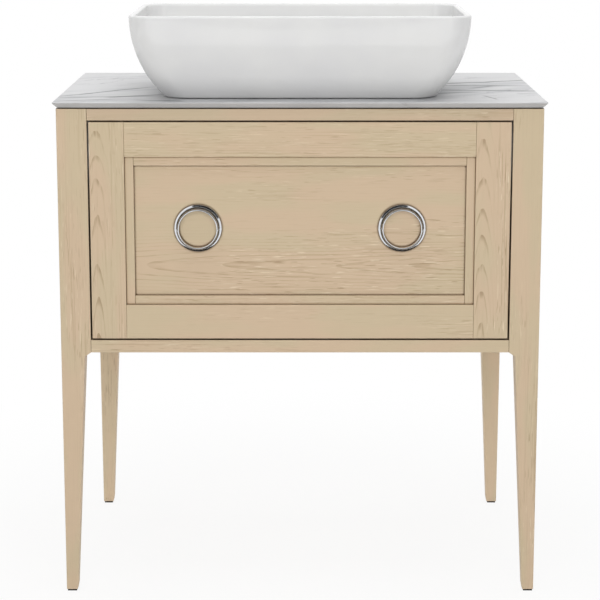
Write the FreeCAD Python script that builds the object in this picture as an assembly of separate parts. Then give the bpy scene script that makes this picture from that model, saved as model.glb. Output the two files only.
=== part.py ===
"""Vanity unit: a legged timber cabinet with one wide drawer, a thin marble top and a vessel basin.

Millimetres. +Z is up, the front faces -Y and +X is to the right. The origin lies on the floor at the
middle of the bounding box. Every piece is a solid of its own, written to parts/NODE.step.
"""
import FreeCAD
import Part

import math
import os

V = FreeCAD.Vector
LEFT = -1
RIGHT = 1
SIDES = {"left": LEFT, "right": RIGHT}

# Cabinet, outside sizes
CABINET_WIDTH = 750.0
CABINET_DEPTH = 475.0
LEG_HEIGHT = 394.0
CARCASS_HEIGHT = 384.0

# Posts and legs
POST_WIDTH = 47.0
POST_DEPTH = 47.0
LEG_TOP = 37.0
LEG_FOOT = 19.0
SHOULDER_HEIGHT = 7.0
FOOT_CHAMFER = 1.5
FOOT_CHAMFER_HEIGHT = 8.0
LEG_ROUND = 1.2
GLIDE_THICKNESS = 3.0
GLIDE_INSET = 1.5

# Carcass boards
SIDE_PANEL_THICKNESS = 15.0
TOP_RAIL_HEIGHT = 18.0
BOTTOM_RAIL_HEIGHT = 20.0
BOTTOM_PANEL_THICKNESS = 16.0
BACK_RAIL_THICKNESS = 16.0
WALL_RAIL_HEIGHT = 90.0
LOW_BACK_RAIL_HEIGHT = 70.0
WALL_HOLE_SPACING = 500.0
WALL_HOLE_RADIUS = 3.5
EDGE_EASE = 0.8

# Dowels between the front rails and the posts
DOWEL_RADIUS = 4.0
DOWEL_LENGTH = 40.0
DOWEL_SETBACK = 14.0
DOWEL_CLEARANCE = 0.05

# Marble top and its bedding strips
TOP_THICKNESS = 8.5
TOP_OVERHANG = 5.0
TOP_BEVEL = 7.0
TOP_ARRIS = 1.2
TOP_BED_THICKNESS = 1.5
TOP_BED_WIDTH = 10.0
TOP_BED_INSET = 4.0
TOP_HOLE_RADIUS = 25.0

# Vessel basin
BASIN_WIDTH = 528.0
BASIN_DEPTH = 334.0
BASIN_HEIGHT = 130.0
BASIN_BASE_INSET = 51.0
BASIN_CORNER = 40.0
BASIN_RIM = 9.0
BASIN_RIM_ROUND = 3.2
BASIN_FLOOR = 16.0
BOWL_FLOOR_INSET = 74.0
BOWL_CORNER = 34.0
BASIN_SETBACK = 3.0
BASIN_BED_THICKNESS = 1.0
BASIN_BED_INSET = 6.0
BASIN_BED_WIDTH = 14.0
BASIN_FOOT_ROUND = 3.0
DRAIN_HOLE_RADIUS = 23.0
DRAIN_DISH_RADIUS = 70.0
DRAIN_DISH_DEPTH = 3.0
OUTER_SECTIONS = 7
BOWL_SECTIONS = 8

# Basin waste with its push plug
WASTE_FLANGE_RADIUS = 32.0
WASTE_FLANGE_THICKNESS = 2.5
WASTE_TAIL_RADIUS = 20.95
WASTE_BORE_RADIUS = 16.5
WASTE_TAIL_LENGTH = 95.0
WASTE_SEAL_THICKNESS = 1.5
WASTE_SEAL_RADIUS = 30.0
WASTE_NUT_RADIUS = 31.0
WASTE_NUT_THICKNESS = 12.0
WASTE_NUT_FLATS = 8
WASTE_THREAD_CLEARANCE = 0.05
WASTE_RELIEF_WIDTH = 2.0
WASTE_RELIEF_DEPTH = 0.8
WASTE_RELIEF_DROP = 1.0
WASTE_HUB_RADIUS = 7.0
WASTE_HUB_HEIGHT = 8.0
WASTE_HUB_DROP = 14.0
WASTE_RIB_WIDTH = 3.0
WASTE_RIBS = 3
WASTE_RIB_BITE = 1.0
PLUG_RADIUS = 29.5
PLUG_THICKNESS = 3.0
PLUG_DOME = 2.0
PLUG_STEM_RADIUS = 4.0
PLUG_STEM_CLEARANCE = 0.05
PLUG_STEM_LENGTH = 34.0
PLUG_COLLAR_RADIUS = 10.0
PLUG_SEAL_GAP = 0.4
PLUG_SEAL_THICKNESS = 3.0

# Drawer front: a frame of stiles and rails with beads round a recessed panel
DRAWER_GAP = 2.5
FRAME_THICKNESS = 20.0
FRAME_WIDTH = 54.0
PANEL_RECESS = 8.0
PANEL_THICKNESS = 8.0
PANEL_EXPANSION_GAP = 1.0
GROOVE_DEPTH = 8.0
TENON_GAP = 0.5
BEAD_WIDTH = 14.0
BEAD_RECESS = 3.5
BEAD_EASE = 1.0

# Ring handles
HANDLE_INSET = 113.0
HANDLE_ABOVE_CENTRE = 4.5
HANDLE_BASE_RADIUS = 37.0
HANDLE_FLANGE = 4.5
HANDLE_FLANGE_EASE = 0.8
HANDLE_COLLAR_RADIUS = 32.0
HANDLE_COLLAR_FILLET = 2.6
HANDLE_LIP_ROUND = 2.0
HANDLE_BORE_RADIUS = 29.0
HANDLE_UNDERCUT_RADIUS = 30.2
HANDLE_DEPTH = 17.0
HANDLE_LIP_DEPTH = 3.0
HANDLE_SCREW_COVER = 1.0

# Drawer box with a cut-out for the plumbing, open at the back
BOX_BACK_CLEARANCE = 18.0
BOX_HEIGHT = 200.0
BOX_LIFT = 10.0
BOX_SIDE_THICKNESS = 15.0
BOX_BOTTOM_THICKNESS = 8.0
BOX_BOTTOM_LIFT = 10.0
BOX_GROOVE_DEPTH = 6.0
WELL_WIDTH = 200.0
WELL_DRAIN_CLEARANCE = 50.0
WELL_WALL_THICKNESS = 12.0

# Drawer runners, three nested channels on each side
RUNNER_WIDTH = 12.7
RUNNER_HEIGHT = 45.0
RUNNER_SHEET = 1.2
RUNNER_PLAY = 0.4
RUNNER_RACE_HEIGHT = 4.0
RUNNER_LIP_HEIGHT = 3.0
RUNNER_WEB_GAP = 2.8
RUNNER_MOUTH = 2.2
RUNNER_FRONT_GAP = 4.0
RUNNER_ABOVE_BOX_BOTTOM = 60.0
PACKER_HEIGHT = 70.0

# Screws
SCREW_RADIUS = 2.0
SCREW_CLEARANCE = 0.05
SCREW_HEAD_RADIUS = 4.0
SCREW_HEAD_THICKNESS = 1.2
RUNNER_SCREW_LENGTH = 13.0
FRONT_SCREW_LENGTH = 27.0
RUNNER_SCREW_SETBACK = 60.0
FRONT_SCREW_EDGE = 40.0

# Places worked out from the sizes above
HALF_WIDTH = CABINET_WIDTH / 2
POST_INNER = HALF_WIDTH - POST_WIDTH
SIDE_INNER = HALF_WIDTH - SIDE_PANEL_THICKNESS
REAR_LEG_INNER = SIDE_INNER - LEG_TOP
FRONT_REACH = max(TOP_OVERHANG, HANDLE_DEPTH - PANEL_RECESS)
FRONT = (FRONT_REACH - CABINET_DEPTH) / 2
BACK = FRONT + CABINET_DEPTH
POST_BACK = FRONT + POST_DEPTH
REAR_LEG_FRONT = BACK - LEG_TOP
CARCASS_BOTTOM = LEG_HEIGHT
CARCASS_TOP = CARCASS_BOTTOM + CARCASS_HEIGHT
OPENING_BOTTOM = CARCASS_BOTTOM + BOTTOM_RAIL_HEIGHT
OPENING_TOP = CARCASS_TOP - TOP_RAIL_HEIGHT

SLAB_BOTTOM = CARCASS_TOP + TOP_BED_THICKNESS
SLAB_TOP = SLAB_BOTTOM + TOP_THICKNESS
BASIN_BOTTOM = SLAB_TOP + BASIN_BED_THICKNESS
BASIN_TOP = BASIN_BOTTOM + BASIN_HEIGHT
BASIN_CENTRE = FRONT - TOP_OVERHANG + BASIN_SETBACK + BASIN_DEPTH / 2
BOWL_FLOOR = BASIN_BOTTOM + BASIN_FLOOR
DRAIN_SEAT = BOWL_FLOOR - DRAIN_DISH_DEPTH
FLANGE_BOTTOM = DRAIN_SEAT + WASTE_SEAL_THICKNESS
FLANGE_TOP = FLANGE_BOTTOM + WASTE_FLANGE_THICKNESS
TAIL_BOTTOM = FLANGE_BOTTOM - WASTE_TAIL_LENGTH
NUT_TOP = SLAB_BOTTOM - WASTE_SEAL_THICKNESS
NUT_BOTTOM = NUT_TOP - WASTE_NUT_THICKNESS
RELIEF_BOTTOM = NUT_BOTTOM - WASTE_RELIEF_DROP - WASTE_RELIEF_WIDTH

DRAWER_RIGHT = POST_INNER - DRAWER_GAP
DRAWER_BOTTOM = OPENING_BOTTOM + DRAWER_GAP
DRAWER_TOP = OPENING_TOP - DRAWER_GAP
FIELD_HALF = DRAWER_RIGHT - FRAME_WIDTH
FIELD_BOTTOM = DRAWER_BOTTOM + FRAME_WIDTH
FIELD_TOP = DRAWER_TOP - FRAME_WIDTH
FRAME_BACK = FRONT + FRAME_THICKNESS
PANEL_FRONT = FRONT + PANEL_RECESS
PANEL_BACK = PANEL_FRONT + PANEL_THICKNESS
BEAD_FRONT = FRONT + BEAD_RECESS
HANDLE_SPACING = 2 * (FIELD_HALF - HANDLE_INSET)
HANDLE_HEIGHT = (FIELD_BOTTOM + FIELD_TOP) / 2 + HANDLE_ABOVE_CENTRE
HANDLE_SCREW_CIRCLE = (HANDLE_UNDERCUT_RADIUS + HANDLE_BASE_RADIUS) / 2
HANDLE_SCREW_LENGTH = PANEL_THICKNESS + HANDLE_FLANGE - HANDLE_SCREW_COVER

BOX_HALF = REAR_LEG_INNER - RUNNER_WIDTH
BOX_INNER_HALF = BOX_HALF - BOX_SIDE_THICKNESS
BOX_BOTTOM = OPENING_BOTTOM + BOX_LIFT
BOX_TOP = BOX_BOTTOM + BOX_HEIGHT
BOX_BACK = REAR_LEG_FRONT - BOX_BACK_CLEARANCE
BOX_DEPTH = BOX_BACK - FRAME_BACK
BOX_FRONT_BACK = FRAME_BACK + BOX_SIDE_THICKNESS
TRAY_BOTTOM = BOX_BOTTOM + BOX_BOTTOM_LIFT
TRAY_TOP = TRAY_BOTTOM + BOX_BOTTOM_THICKNESS
WELL_FRONT = BASIN_CENTRE - WELL_DRAIN_CLEARANCE
WELL_HALF = WELL_WIDTH / 2
WELL_OUTER_HALF = WELL_HALF + WELL_WALL_THICKNESS

RUNNER_FRONT = FRAME_BACK + RUNNER_FRONT_GAP
RUNNER_LENGTH = BOX_DEPTH - RUNNER_FRONT_GAP
RUNNER_BACK = RUNNER_FRONT + RUNNER_LENGTH
RUNNER_HEIGHT_CENTRE = BOX_BOTTOM + RUNNER_ABOVE_BOX_BOTTOM
RUNNER_SCREW_PLACES = (POST_BACK + RUNNER_SCREW_SETBACK, RUNNER_BACK - RUNNER_SCREW_SETBACK)


def block(x_range, y_range, z_range):
    """A plain box between two limits on each axis."""
    low = V(min(x_range), min(y_range), min(z_range))
    high = V(max(x_range), max(y_range), max(z_range))
    size = high - low
    return Part.makeBox(size.x, size.y, size.z, low)


def eased_block(x_range, y_range, z_range, ease=EDGE_EASE):
    """A board whose edges are all slightly rounded."""
    board = block(x_range, y_range, z_range)
    return board.makeFillet(ease, board.Edges)


def rod(radius, start, direction, length):
    """A round bar from a point along a direction."""
    return Part.makeCylinder(radius, length, start, direction)


def ring(inner, outer, bottom, height, centre_y):
    """A flat washer about the vertical axis of the drain."""
    base = V(0, centre_y, bottom)
    up = V(0, 0, 1)
    return rod(outer, base, up, height).cut(rod(inner, base, up, height))


def screw(start, direction, length):
    """A pan-head screw: start lies under the head, direction points along the shank."""
    shank = rod(SCREW_RADIUS, start, direction, length)
    head = rod(SCREW_HEAD_RADIUS, start, direction * -1, SCREW_HEAD_THICKNESS)
    return shank.fuse(head).removeSplitter()


def screw_hole(start, direction, length):
    """The hole that a screw of that length takes, a little wider than its shank."""
    return rod(SCREW_RADIUS + SCREW_CLEARANCE, start, direction, length)


def rounded_rectangle(x_range, y_range, radius, height):
    """A closed level wire with four straight runs and four corner arcs."""
    x_low, x_high = min(x_range), max(x_range)
    y_low, y_high = min(y_range), max(y_range)
    corners = (
        (x_high - radius, y_low + radius, -90),
        (x_high - radius, y_high - radius, 0),
        (x_low + radius, y_high - radius, 90),
        (x_low + radius, y_low + radius, 180),
    )
    arcs = []
    for x, y, start in corners:
        circle = Part.Circle(V(x, y, height), V(0, 0, 1), radius)
        arcs.append(Part.ArcOfCircle(circle, math.radians(start), math.radians(start + 90)).toShape())
    edges = []
    for arc, following in zip(arcs, arcs[1:] + arcs[:1]):
        edges.append(arc)
        edges.append(Part.LineSegment(arc.Vertexes[-1].Point, following.Vertexes[0].Point).toShape())
    return Part.Wire(edges)


def tapered_post(outer_x, side, outer_y, inward_y, sections):
    """A post lofted through (height, width, depth) sections that share one outer corner."""
    wires = []
    for height, width, depth in sections:
        x_range = (outer_x, outer_x - side * width)
        y_range = (outer_y, outer_y + inward_y * depth)
        wires.append(rounded_rectangle(x_range, y_range, LEG_ROUND, height))
    return Part.makeLoft(wires, True, True)


def foot_sections():
    """Sections shared by all four legs from the top of the taper to the glide."""
    sole = LEG_FOOT - FOOT_CHAMFER
    return [
        (FOOT_CHAMFER_HEIGHT + GLIDE_THICKNESS, LEG_FOOT, LEG_FOOT),
        (GLIDE_THICKNESS, sole, sole),
    ]


def dowel_places(side):
    """Centres of the dowels at one end of both front rails, at the face of the post."""
    heights = (CARCASS_TOP - TOP_RAIL_HEIGHT / 2, CARCASS_BOTTOM + BOTTOM_RAIL_HEIGHT / 2)
    depths = (FRONT + DOWEL_SETBACK, POST_BACK - DOWEL_SETBACK)
    return [V(side * POST_INNER, y, z) for z in heights for y in depths]


def dowels(radius, side):
    """Dowels of one post, half in the post and half in the rails."""
    start = V(-DOWEL_LENGTH / 2, 0, 0)
    return [rod(radius, place + start, V(1, 0, 0), DOWEL_LENGTH) for place in dowel_places(side)]


def dowel_holes():
    """Holes for every dowel, in the posts and the rails alike."""
    holes = []
    for side in SIDES.values():
        holes.extend(dowels(DOWEL_RADIUS + DOWEL_CLEARANCE, side))
    return holes


def front_posts():
    """Front corner posts that run down as legs, tapered on their two inner faces."""
    posts = {}
    sections = [
        (CARCASS_TOP, POST_WIDTH, POST_DEPTH),
        (CARCASS_BOTTOM, POST_WIDTH, POST_DEPTH),
        (CARCASS_BOTTOM - SHOULDER_HEIGHT, LEG_TOP, LEG_TOP),
    ] + foot_sections()
    for name, side in SIDES.items():
        post = tapered_post(side * HALF_WIDTH, side, FRONT, 1, sections)
        posts["front_post_" + name] = post.cut(dowel_holes())
    return posts


def rear_legs():
    """Rear posts inside the side panels, tapered below the carcass on their two inner faces."""
    legs = {}
    sections = [
        (CARCASS_TOP, LEG_TOP, LEG_TOP),
        (CARCASS_BOTTOM, LEG_TOP, LEG_TOP),
    ] + foot_sections()
    for name, side in SIDES.items():
        legs["rear_leg_" + name] = tapered_post(side * SIDE_INNER, side, BACK, -1, sections)
    return legs


def foot_glides():
    """Four thin nylon glides under the legs, one group."""
    size = LEG_FOOT - FOOT_CHAMFER - 2 * GLIDE_INSET
    glides = []
    for side in SIDES.values():
        for outer_x, outer_y, inward in ((HALF_WIDTH, FRONT, 1), (SIDE_INNER, BACK, -1)):
            x = side * (outer_x - GLIDE_INSET)
            y = outer_y + inward * GLIDE_INSET
            glides.append(block((x, x - side * size), (y, y + inward * size), (0, GLIDE_THICKNESS)))
    return {"foot_glides": Part.makeCompound(glides)}


def side_panels():
    """Plain side boards, flush with the posts and in front of the wall."""
    panels = {}
    for name, side in SIDES.items():
        x_range = (side * SIDE_INNER, side * HALF_WIDTH)
        board = eased_block(x_range, (POST_BACK, BACK), (CARCASS_BOTTOM, CARCASS_TOP))
        panels["side_panel_" + name] = board
    return panels


def front_rails():
    """The two rails between the front posts, doweled at both ends."""
    x_range = (-POST_INNER, POST_INNER)
    y_range = (FRONT, POST_BACK)
    top = eased_block(x_range, y_range, (OPENING_TOP, CARCASS_TOP))
    bottom = eased_block(x_range, y_range, (CARCASS_BOTTOM, OPENING_BOTTOM))
    return {
        "top_front_rail": top.cut(dowel_holes()),
        "bottom_front_rail": bottom.cut(dowel_holes()),
        "rail_dowels": Part.makeCompound(
            [dowel for side in SIDES.values() for dowel in dowels(DOWEL_RADIUS, side)]
        ),
    }


def back_boards():
    """Bottom panel, lower back rail and the upper back rail with its wall-fixing holes."""
    rail_x = (-REAR_LEG_INNER, REAR_LEG_INNER)
    bottom = block(
        (-SIDE_INNER, SIDE_INNER),
        (POST_BACK, REAR_LEG_FRONT),
        (CARCASS_BOTTOM, CARCASS_BOTTOM + BOTTOM_PANEL_THICKNESS),
    )
    low_rail = block(
        rail_x,
        (REAR_LEG_FRONT, REAR_LEG_FRONT + BACK_RAIL_THICKNESS),
        (CARCASS_BOTTOM, CARCASS_BOTTOM + LOW_BACK_RAIL_HEIGHT),
    )
    wall_rail = block(
        rail_x, (BACK - BACK_RAIL_THICKNESS, BACK), (CARCASS_TOP - WALL_RAIL_HEIGHT, CARCASS_TOP)
    )
    hole_height = CARCASS_TOP - WALL_RAIL_HEIGHT / 2
    for side in SIDES.values():
        start = V(side * WALL_HOLE_SPACING / 2, BACK - BACK_RAIL_THICKNESS, hole_height)
        wall_rail = wall_rail.cut(rod(WALL_HOLE_RADIUS, start, V(0, 1, 0), BACK_RAIL_THICKNESS))
    return {"bottom_panel": bottom, "low_back_rail": low_rail, "wall_rail": wall_rail}


def marble_top():
    """Thin slab, undercut along the front and both sides, with the hole for the waste."""
    half = HALF_WIDTH + TOP_OVERHANG
    front = FRONT - TOP_OVERHANG
    bevel_top = SLAB_TOP - TOP_ARRIS

    def outline(inset, height):
        points = [
            V(-half + inset, front + inset, height),
            V(half - inset, front + inset, height),
            V(half - inset, BACK, height),
            V(-half + inset, BACK, height),
        ]
        return Part.makePolygon(points + points[:1])

    wires = [outline(TOP_BEVEL, SLAB_BOTTOM), outline(0, bevel_top), outline(0, SLAB_TOP)]
    slab = Part.makeLoft(wires, True, True)
    hole = rod(TOP_HOLE_RADIUS, V(0, BASIN_CENTRE, SLAB_BOTTOM), V(0, 0, 1), TOP_THICKNESS)
    return {"marble_top": slab.cut(hole)}


def top_bedding():
    """Four dark bedding strips between the carcass and the slab, set back as a shadow line."""
    z_range = (CARCASS_TOP, SLAB_BOTTOM)
    outer = HALF_WIDTH - TOP_BED_INSET
    front = FRONT + TOP_BED_INSET
    back = BACK - TOP_BED_INSET
    front_end = front + TOP_BED_WIDTH
    back_start = back - TOP_BED_WIDTH
    strips = [
        block((-outer, outer), (front, front_end), z_range),
        block((-outer, outer), (back_start, back), z_range),
    ]
    for side in SIDES.values():
        x_range = (side * outer, side * (outer - TOP_BED_WIDTH))
        strips.append(block(x_range, (front_end, back_start), z_range))
    return {"top_bedding": Part.makeCompound(strips)}


def basin_section(inset, corner, height):
    """A level rounded rectangle of the basin, drawn in from the rim by the inset."""
    half_width = BASIN_WIDTH / 2 - inset
    half_depth = BASIN_DEPTH / 2 - inset
    y_range = (BASIN_CENTRE - half_depth, BASIN_CENTRE + half_depth)
    return rounded_rectangle((-half_width, half_width), y_range, corner, height)


def basin():
    """Vessel basin: upright at the thin rim, drawn in along one arc to a smaller base."""
    arc_radius = (BASIN_HEIGHT ** 2 + BASIN_BASE_INSET ** 2) / (2 * BASIN_BASE_INSET)
    outer_wires = []
    for step in range(OUTER_SECTIONS):
        drop = BASIN_HEIGHT * step / (OUTER_SECTIONS - 1)
        inset = arc_radius - math.sqrt(arc_radius ** 2 - drop ** 2)
        outer_wires.append(basin_section(inset, BASIN_CORNER, BASIN_TOP - drop))
    body = Part.makeLoft(outer_wires, True, False)

    bowl_depth = BASIN_TOP - BOWL_FLOOR
    run = BOWL_FLOOR_INSET - BASIN_RIM
    bowl_wires = []
    for step in range(BOWL_SECTIONS):
        turn = math.pi / 2 * step / (BOWL_SECTIONS - 1)
        inset = BASIN_RIM + run * (1 - math.cos(turn))
        bowl_wires.append(basin_section(inset, BOWL_CORNER, BASIN_TOP - bowl_depth * math.sin(turn)))
    body = body.cut(Part.makeLoft(bowl_wires, True, False))

    rim_edges = [edge for edge in body.Edges if edge.BoundBox.ZMin > BASIN_TOP - BASIN_RIM_ROUND]
    body = body.makeFillet(BASIN_RIM_ROUND, rim_edges)
    foot_edges = [edge for edge in body.Edges if edge.BoundBox.ZMax < BASIN_BOTTOM + BASIN_FOOT_ROUND]
    body = body.makeFillet(BASIN_FOOT_ROUND, foot_edges)

    up = V(0, 0, 1)
    dish = Part.makeCone(
        WASTE_FLANGE_RADIUS, DRAIN_DISH_RADIUS, DRAIN_DISH_DEPTH, V(0, BASIN_CENTRE, DRAIN_SEAT), up
    )
    hole = rod(DRAIN_HOLE_RADIUS, V(0, BASIN_CENTRE, BASIN_BOTTOM), up, BASIN_FLOOR)
    return {"basin": body.cut([dish, hole])}


def basin_bedding():
    """Thin sealant ring under the basin, set back from the edge of its base."""
    outer_inset = BASIN_BASE_INSET + BASIN_BED_INSET
    inner_inset = outer_inset + BASIN_BED_WIDTH
    rings = []
    for inset in (outer_inset, inner_inset):
        corner = BASIN_CORNER - (inset - BASIN_BASE_INSET)
        face = Part.Face(basin_section(inset, corner, SLAB_TOP))
        rings.append(face.extrude(V(0, 0, BASIN_BED_THICKNESS)))
    return {"basin_bedding": rings[0].cut(rings[1])}


def waste_ribs():
    """Guide hub of the plug stem, held by thin ribs across the waste."""
    bottom = FLANGE_BOTTOM - WASTE_HUB_DROP - WASTE_HUB_HEIGHT
    centre = V(0, BASIN_CENTRE, bottom)
    up = V(0, 0, 1)
    hub = rod(WASTE_HUB_RADIUS, centre, up, WASTE_HUB_HEIGHT)
    for index in range(WASTE_RIBS):
        rib_y = (-WASTE_RIB_WIDTH / 2, WASTE_RIB_WIDTH / 2)
        rib = block((0, WASTE_BORE_RADIUS + WASTE_RIB_BITE), rib_y, (0, WASTE_HUB_HEIGHT))
        rib.rotate(V(0, 0, 0), up, 360.0 / WASTE_RIBS * index)
        rib.translate(centre)
        hub = hub.fuse(rib)
    return hub.cut(rod(PLUG_STEM_RADIUS + PLUG_STEM_CLEARANCE, centre, up, WASTE_HUB_HEIGHT))


def basin_waste():
    """Waste body, its seals and the back nut under the slab."""
    up = V(0, 0, 1)
    flange = rod(WASTE_FLANGE_RADIUS, V(0, BASIN_CENTRE, FLANGE_BOTTOM), up, WASTE_FLANGE_THICKNESS)
    tail = rod(WASTE_TAIL_RADIUS, V(0, BASIN_CENTRE, TAIL_BOTTOM), up, WASTE_TAIL_LENGTH)
    bore_length = FLANGE_TOP - TAIL_BOTTOM
    bore = rod(WASTE_BORE_RADIUS, V(0, BASIN_CENTRE, TAIL_BOTTOM), up, bore_length)
    relief_inner = WASTE_TAIL_RADIUS - WASTE_RELIEF_DEPTH
    relief = ring(relief_inner, WASTE_FLANGE_RADIUS, RELIEF_BOTTOM, WASTE_RELIEF_WIDTH, BASIN_CENTRE)
    body = flange.fuse(tail).cut([bore, relief]).fuse(waste_ribs()).removeSplitter()
    thread = WASTE_TAIL_RADIUS + WASTE_THREAD_CLEARANCE
    corners = []
    for index in range(WASTE_NUT_FLATS + 1):
        turn = 2 * math.pi * (index + 0.5) / WASTE_NUT_FLATS
        x = WASTE_NUT_RADIUS * math.cos(turn)
        y = BASIN_CENTRE + WASTE_NUT_RADIUS * math.sin(turn)
        corners.append(V(x, y, NUT_BOTTOM))
    nut = Part.Face(Part.makePolygon(corners)).extrude(V(0, 0, WASTE_NUT_THICKNESS))
    nut = nut.cut(rod(thread, V(0, BASIN_CENTRE, NUT_BOTTOM), up, WASTE_NUT_THICKNESS))
    return {
        "waste_body": body,
        "waste_seal_upper": ring(thread, WASTE_SEAL_RADIUS, DRAIN_SEAT, WASTE_SEAL_THICKNESS, BASIN_CENTRE),
        "waste_seal_lower": ring(thread, WASTE_SEAL_RADIUS, NUT_TOP, WASTE_SEAL_THICKNESS, BASIN_CENTRE),
        "waste_nut": nut,
    }


def waste_plug():
    """Push plug with a low dome, a collar, a stem and the seal round its collar."""
    up = V(0, 0, 1)
    centre = V(0, BASIN_CENTRE, FLANGE_TOP)
    disc = rod(PLUG_RADIUS, centre, up, PLUG_THICKNESS)
    dome_radius = (PLUG_RADIUS ** 2 + PLUG_DOME ** 2) / (2 * PLUG_DOME)
    dome_top = FLANGE_TOP + PLUG_THICKNESS + PLUG_DOME
    ball = Part.makeSphere(dome_radius, V(0, BASIN_CENTRE, dome_top - dome_radius))
    cap_block = rod(PLUG_RADIUS, centre + V(0, 0, PLUG_THICKNESS), up, PLUG_DOME)
    cap = disc.fuse(cap_block.common(ball))
    collar = rod(PLUG_COLLAR_RADIUS, centre, up * -1, PLUG_SEAL_THICKNESS)
    stem = rod(PLUG_STEM_RADIUS, centre, up * -1, PLUG_STEM_LENGTH)
    seal_outer = WASTE_BORE_RADIUS - PLUG_SEAL_GAP
    seal_bottom = FLANGE_TOP - PLUG_SEAL_THICKNESS
    return {
        "waste_plug": cap.fuse([collar, stem]).removeSplitter(),
        "plug_seal": ring(PLUG_COLLAR_RADIUS, seal_outer, seal_bottom, PLUG_SEAL_THICKNESS, BASIN_CENTRE),
    }


def front_screw_places():
    """Centres of the screws that hold the drawer front, at the back of the box front."""
    x = (FIELD_HALF + BOX_INNER_HALF) / 2
    heights = (BOX_BOTTOM + FRONT_SCREW_EDGE, BOX_TOP - FRONT_SCREW_EDGE)
    return [V(side * x, BOX_FRONT_BACK, z) for side in SIDES.values() for z in heights]


def front_screw_holes():
    """Holes of the drawer-front screws through the box front and into the stiles."""
    return [screw_hole(place, V(0, -1, 0), FRONT_SCREW_LENGTH) for place in front_screw_places()]


def drawer_frame():
    """Stiles and rails of the drawer front, grooved for the panel, with stub tenons on the rails."""
    pieces = {}
    y_range = (FRONT, FRAME_BACK)
    groove_y = (PANEL_FRONT, PANEL_BACK)
    groove_half = FIELD_HALF + GROOVE_DEPTH
    for name, side in SIDES.items():
        stile = eased_block((side * FIELD_HALF, side * DRAWER_RIGHT), y_range, (DRAWER_BOTTOM, DRAWER_TOP))
        groove = block((side * FIELD_HALF, side * groove_half), groove_y, (DRAWER_BOTTOM, DRAWER_TOP))
        pieces["drawer_stile_" + name] = stile.cut([groove] + front_screw_holes())
    tenon_half = groove_half - TENON_GAP
    for name, outer, inner, inward in (
        ("top", DRAWER_TOP, FIELD_TOP, -1),
        ("bottom", DRAWER_BOTTOM, FIELD_BOTTOM, 1),
    ):
        rail = eased_block((-FIELD_HALF, FIELD_HALF), y_range, (outer, inner))
        tenon_z = (outer + inward * GROOVE_DEPTH, inner - inward * GROOVE_DEPTH)
        rail = rail.fuse(block((-tenon_half, tenon_half), groove_y, tenon_z))
        groove = block((-tenon_half, tenon_half), groove_y, (inner, inner - inward * GROOVE_DEPTH))
        pieces["drawer_rail_" + name] = rail.cut(groove).removeSplitter()
    return pieces


def handle_screw_places():
    """Axis points of the handle screws, at the back of the panel: two to each ring."""
    places = []
    for side in SIDES.values():
        for end in SIDES.values():
            x = side * HANDLE_SPACING / 2 + end * HANDLE_SCREW_CIRCLE
            places.append(V(x, PANEL_BACK, HANDLE_HEIGHT))
    return places


def handle_screw_holes():
    """Holes of the handle screws through the panel and into the rings."""
    return [screw_hole(place, V(0, -1, 0), HANDLE_SCREW_LENGTH) for place in handle_screw_places()]


def drawer_panel():
    """Flat panel held in the groove of the frame, drilled for the handle screws."""
    half = FIELD_HALF + GROOVE_DEPTH - PANEL_EXPANSION_GAP
    reach = GROOVE_DEPTH - PANEL_EXPANSION_GAP
    panel = block((-half, half), (PANEL_FRONT, PANEL_BACK), (FIELD_BOTTOM - reach, FIELD_TOP + reach))
    return {"drawer_panel": panel.cut(handle_screw_holes())}


def drawer_beads():
    """Loose beads on the panel: upright ones run through, level ones butt between them."""
    beads = {}
    y_range = (BEAD_FRONT, PANEL_FRONT)
    inner = FIELD_HALF - BEAD_WIDTH
    for name, side in SIDES.items():
        x_range = (side * inner, side * FIELD_HALF)
        beads["bead_" + name] = eased_block(x_range, y_range, (FIELD_BOTTOM, FIELD_TOP), BEAD_EASE)
    for name, outer, end in (
        ("top", FIELD_TOP, FIELD_TOP - BEAD_WIDTH),
        ("bottom", FIELD_BOTTOM, FIELD_BOTTOM + BEAD_WIDTH),
    ):
        beads["bead_" + name] = eased_block((-inner, inner), y_range, (outer, end), BEAD_EASE)
    return beads


def quarter_arc(centre, first, last):
    """Quarter circle about a centre, from one radius to another at right angles to it."""
    halfway = (first + last).normalize() * first.Length
    return Part.Arc(centre + first, centre + halfway, centre + last)


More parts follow.
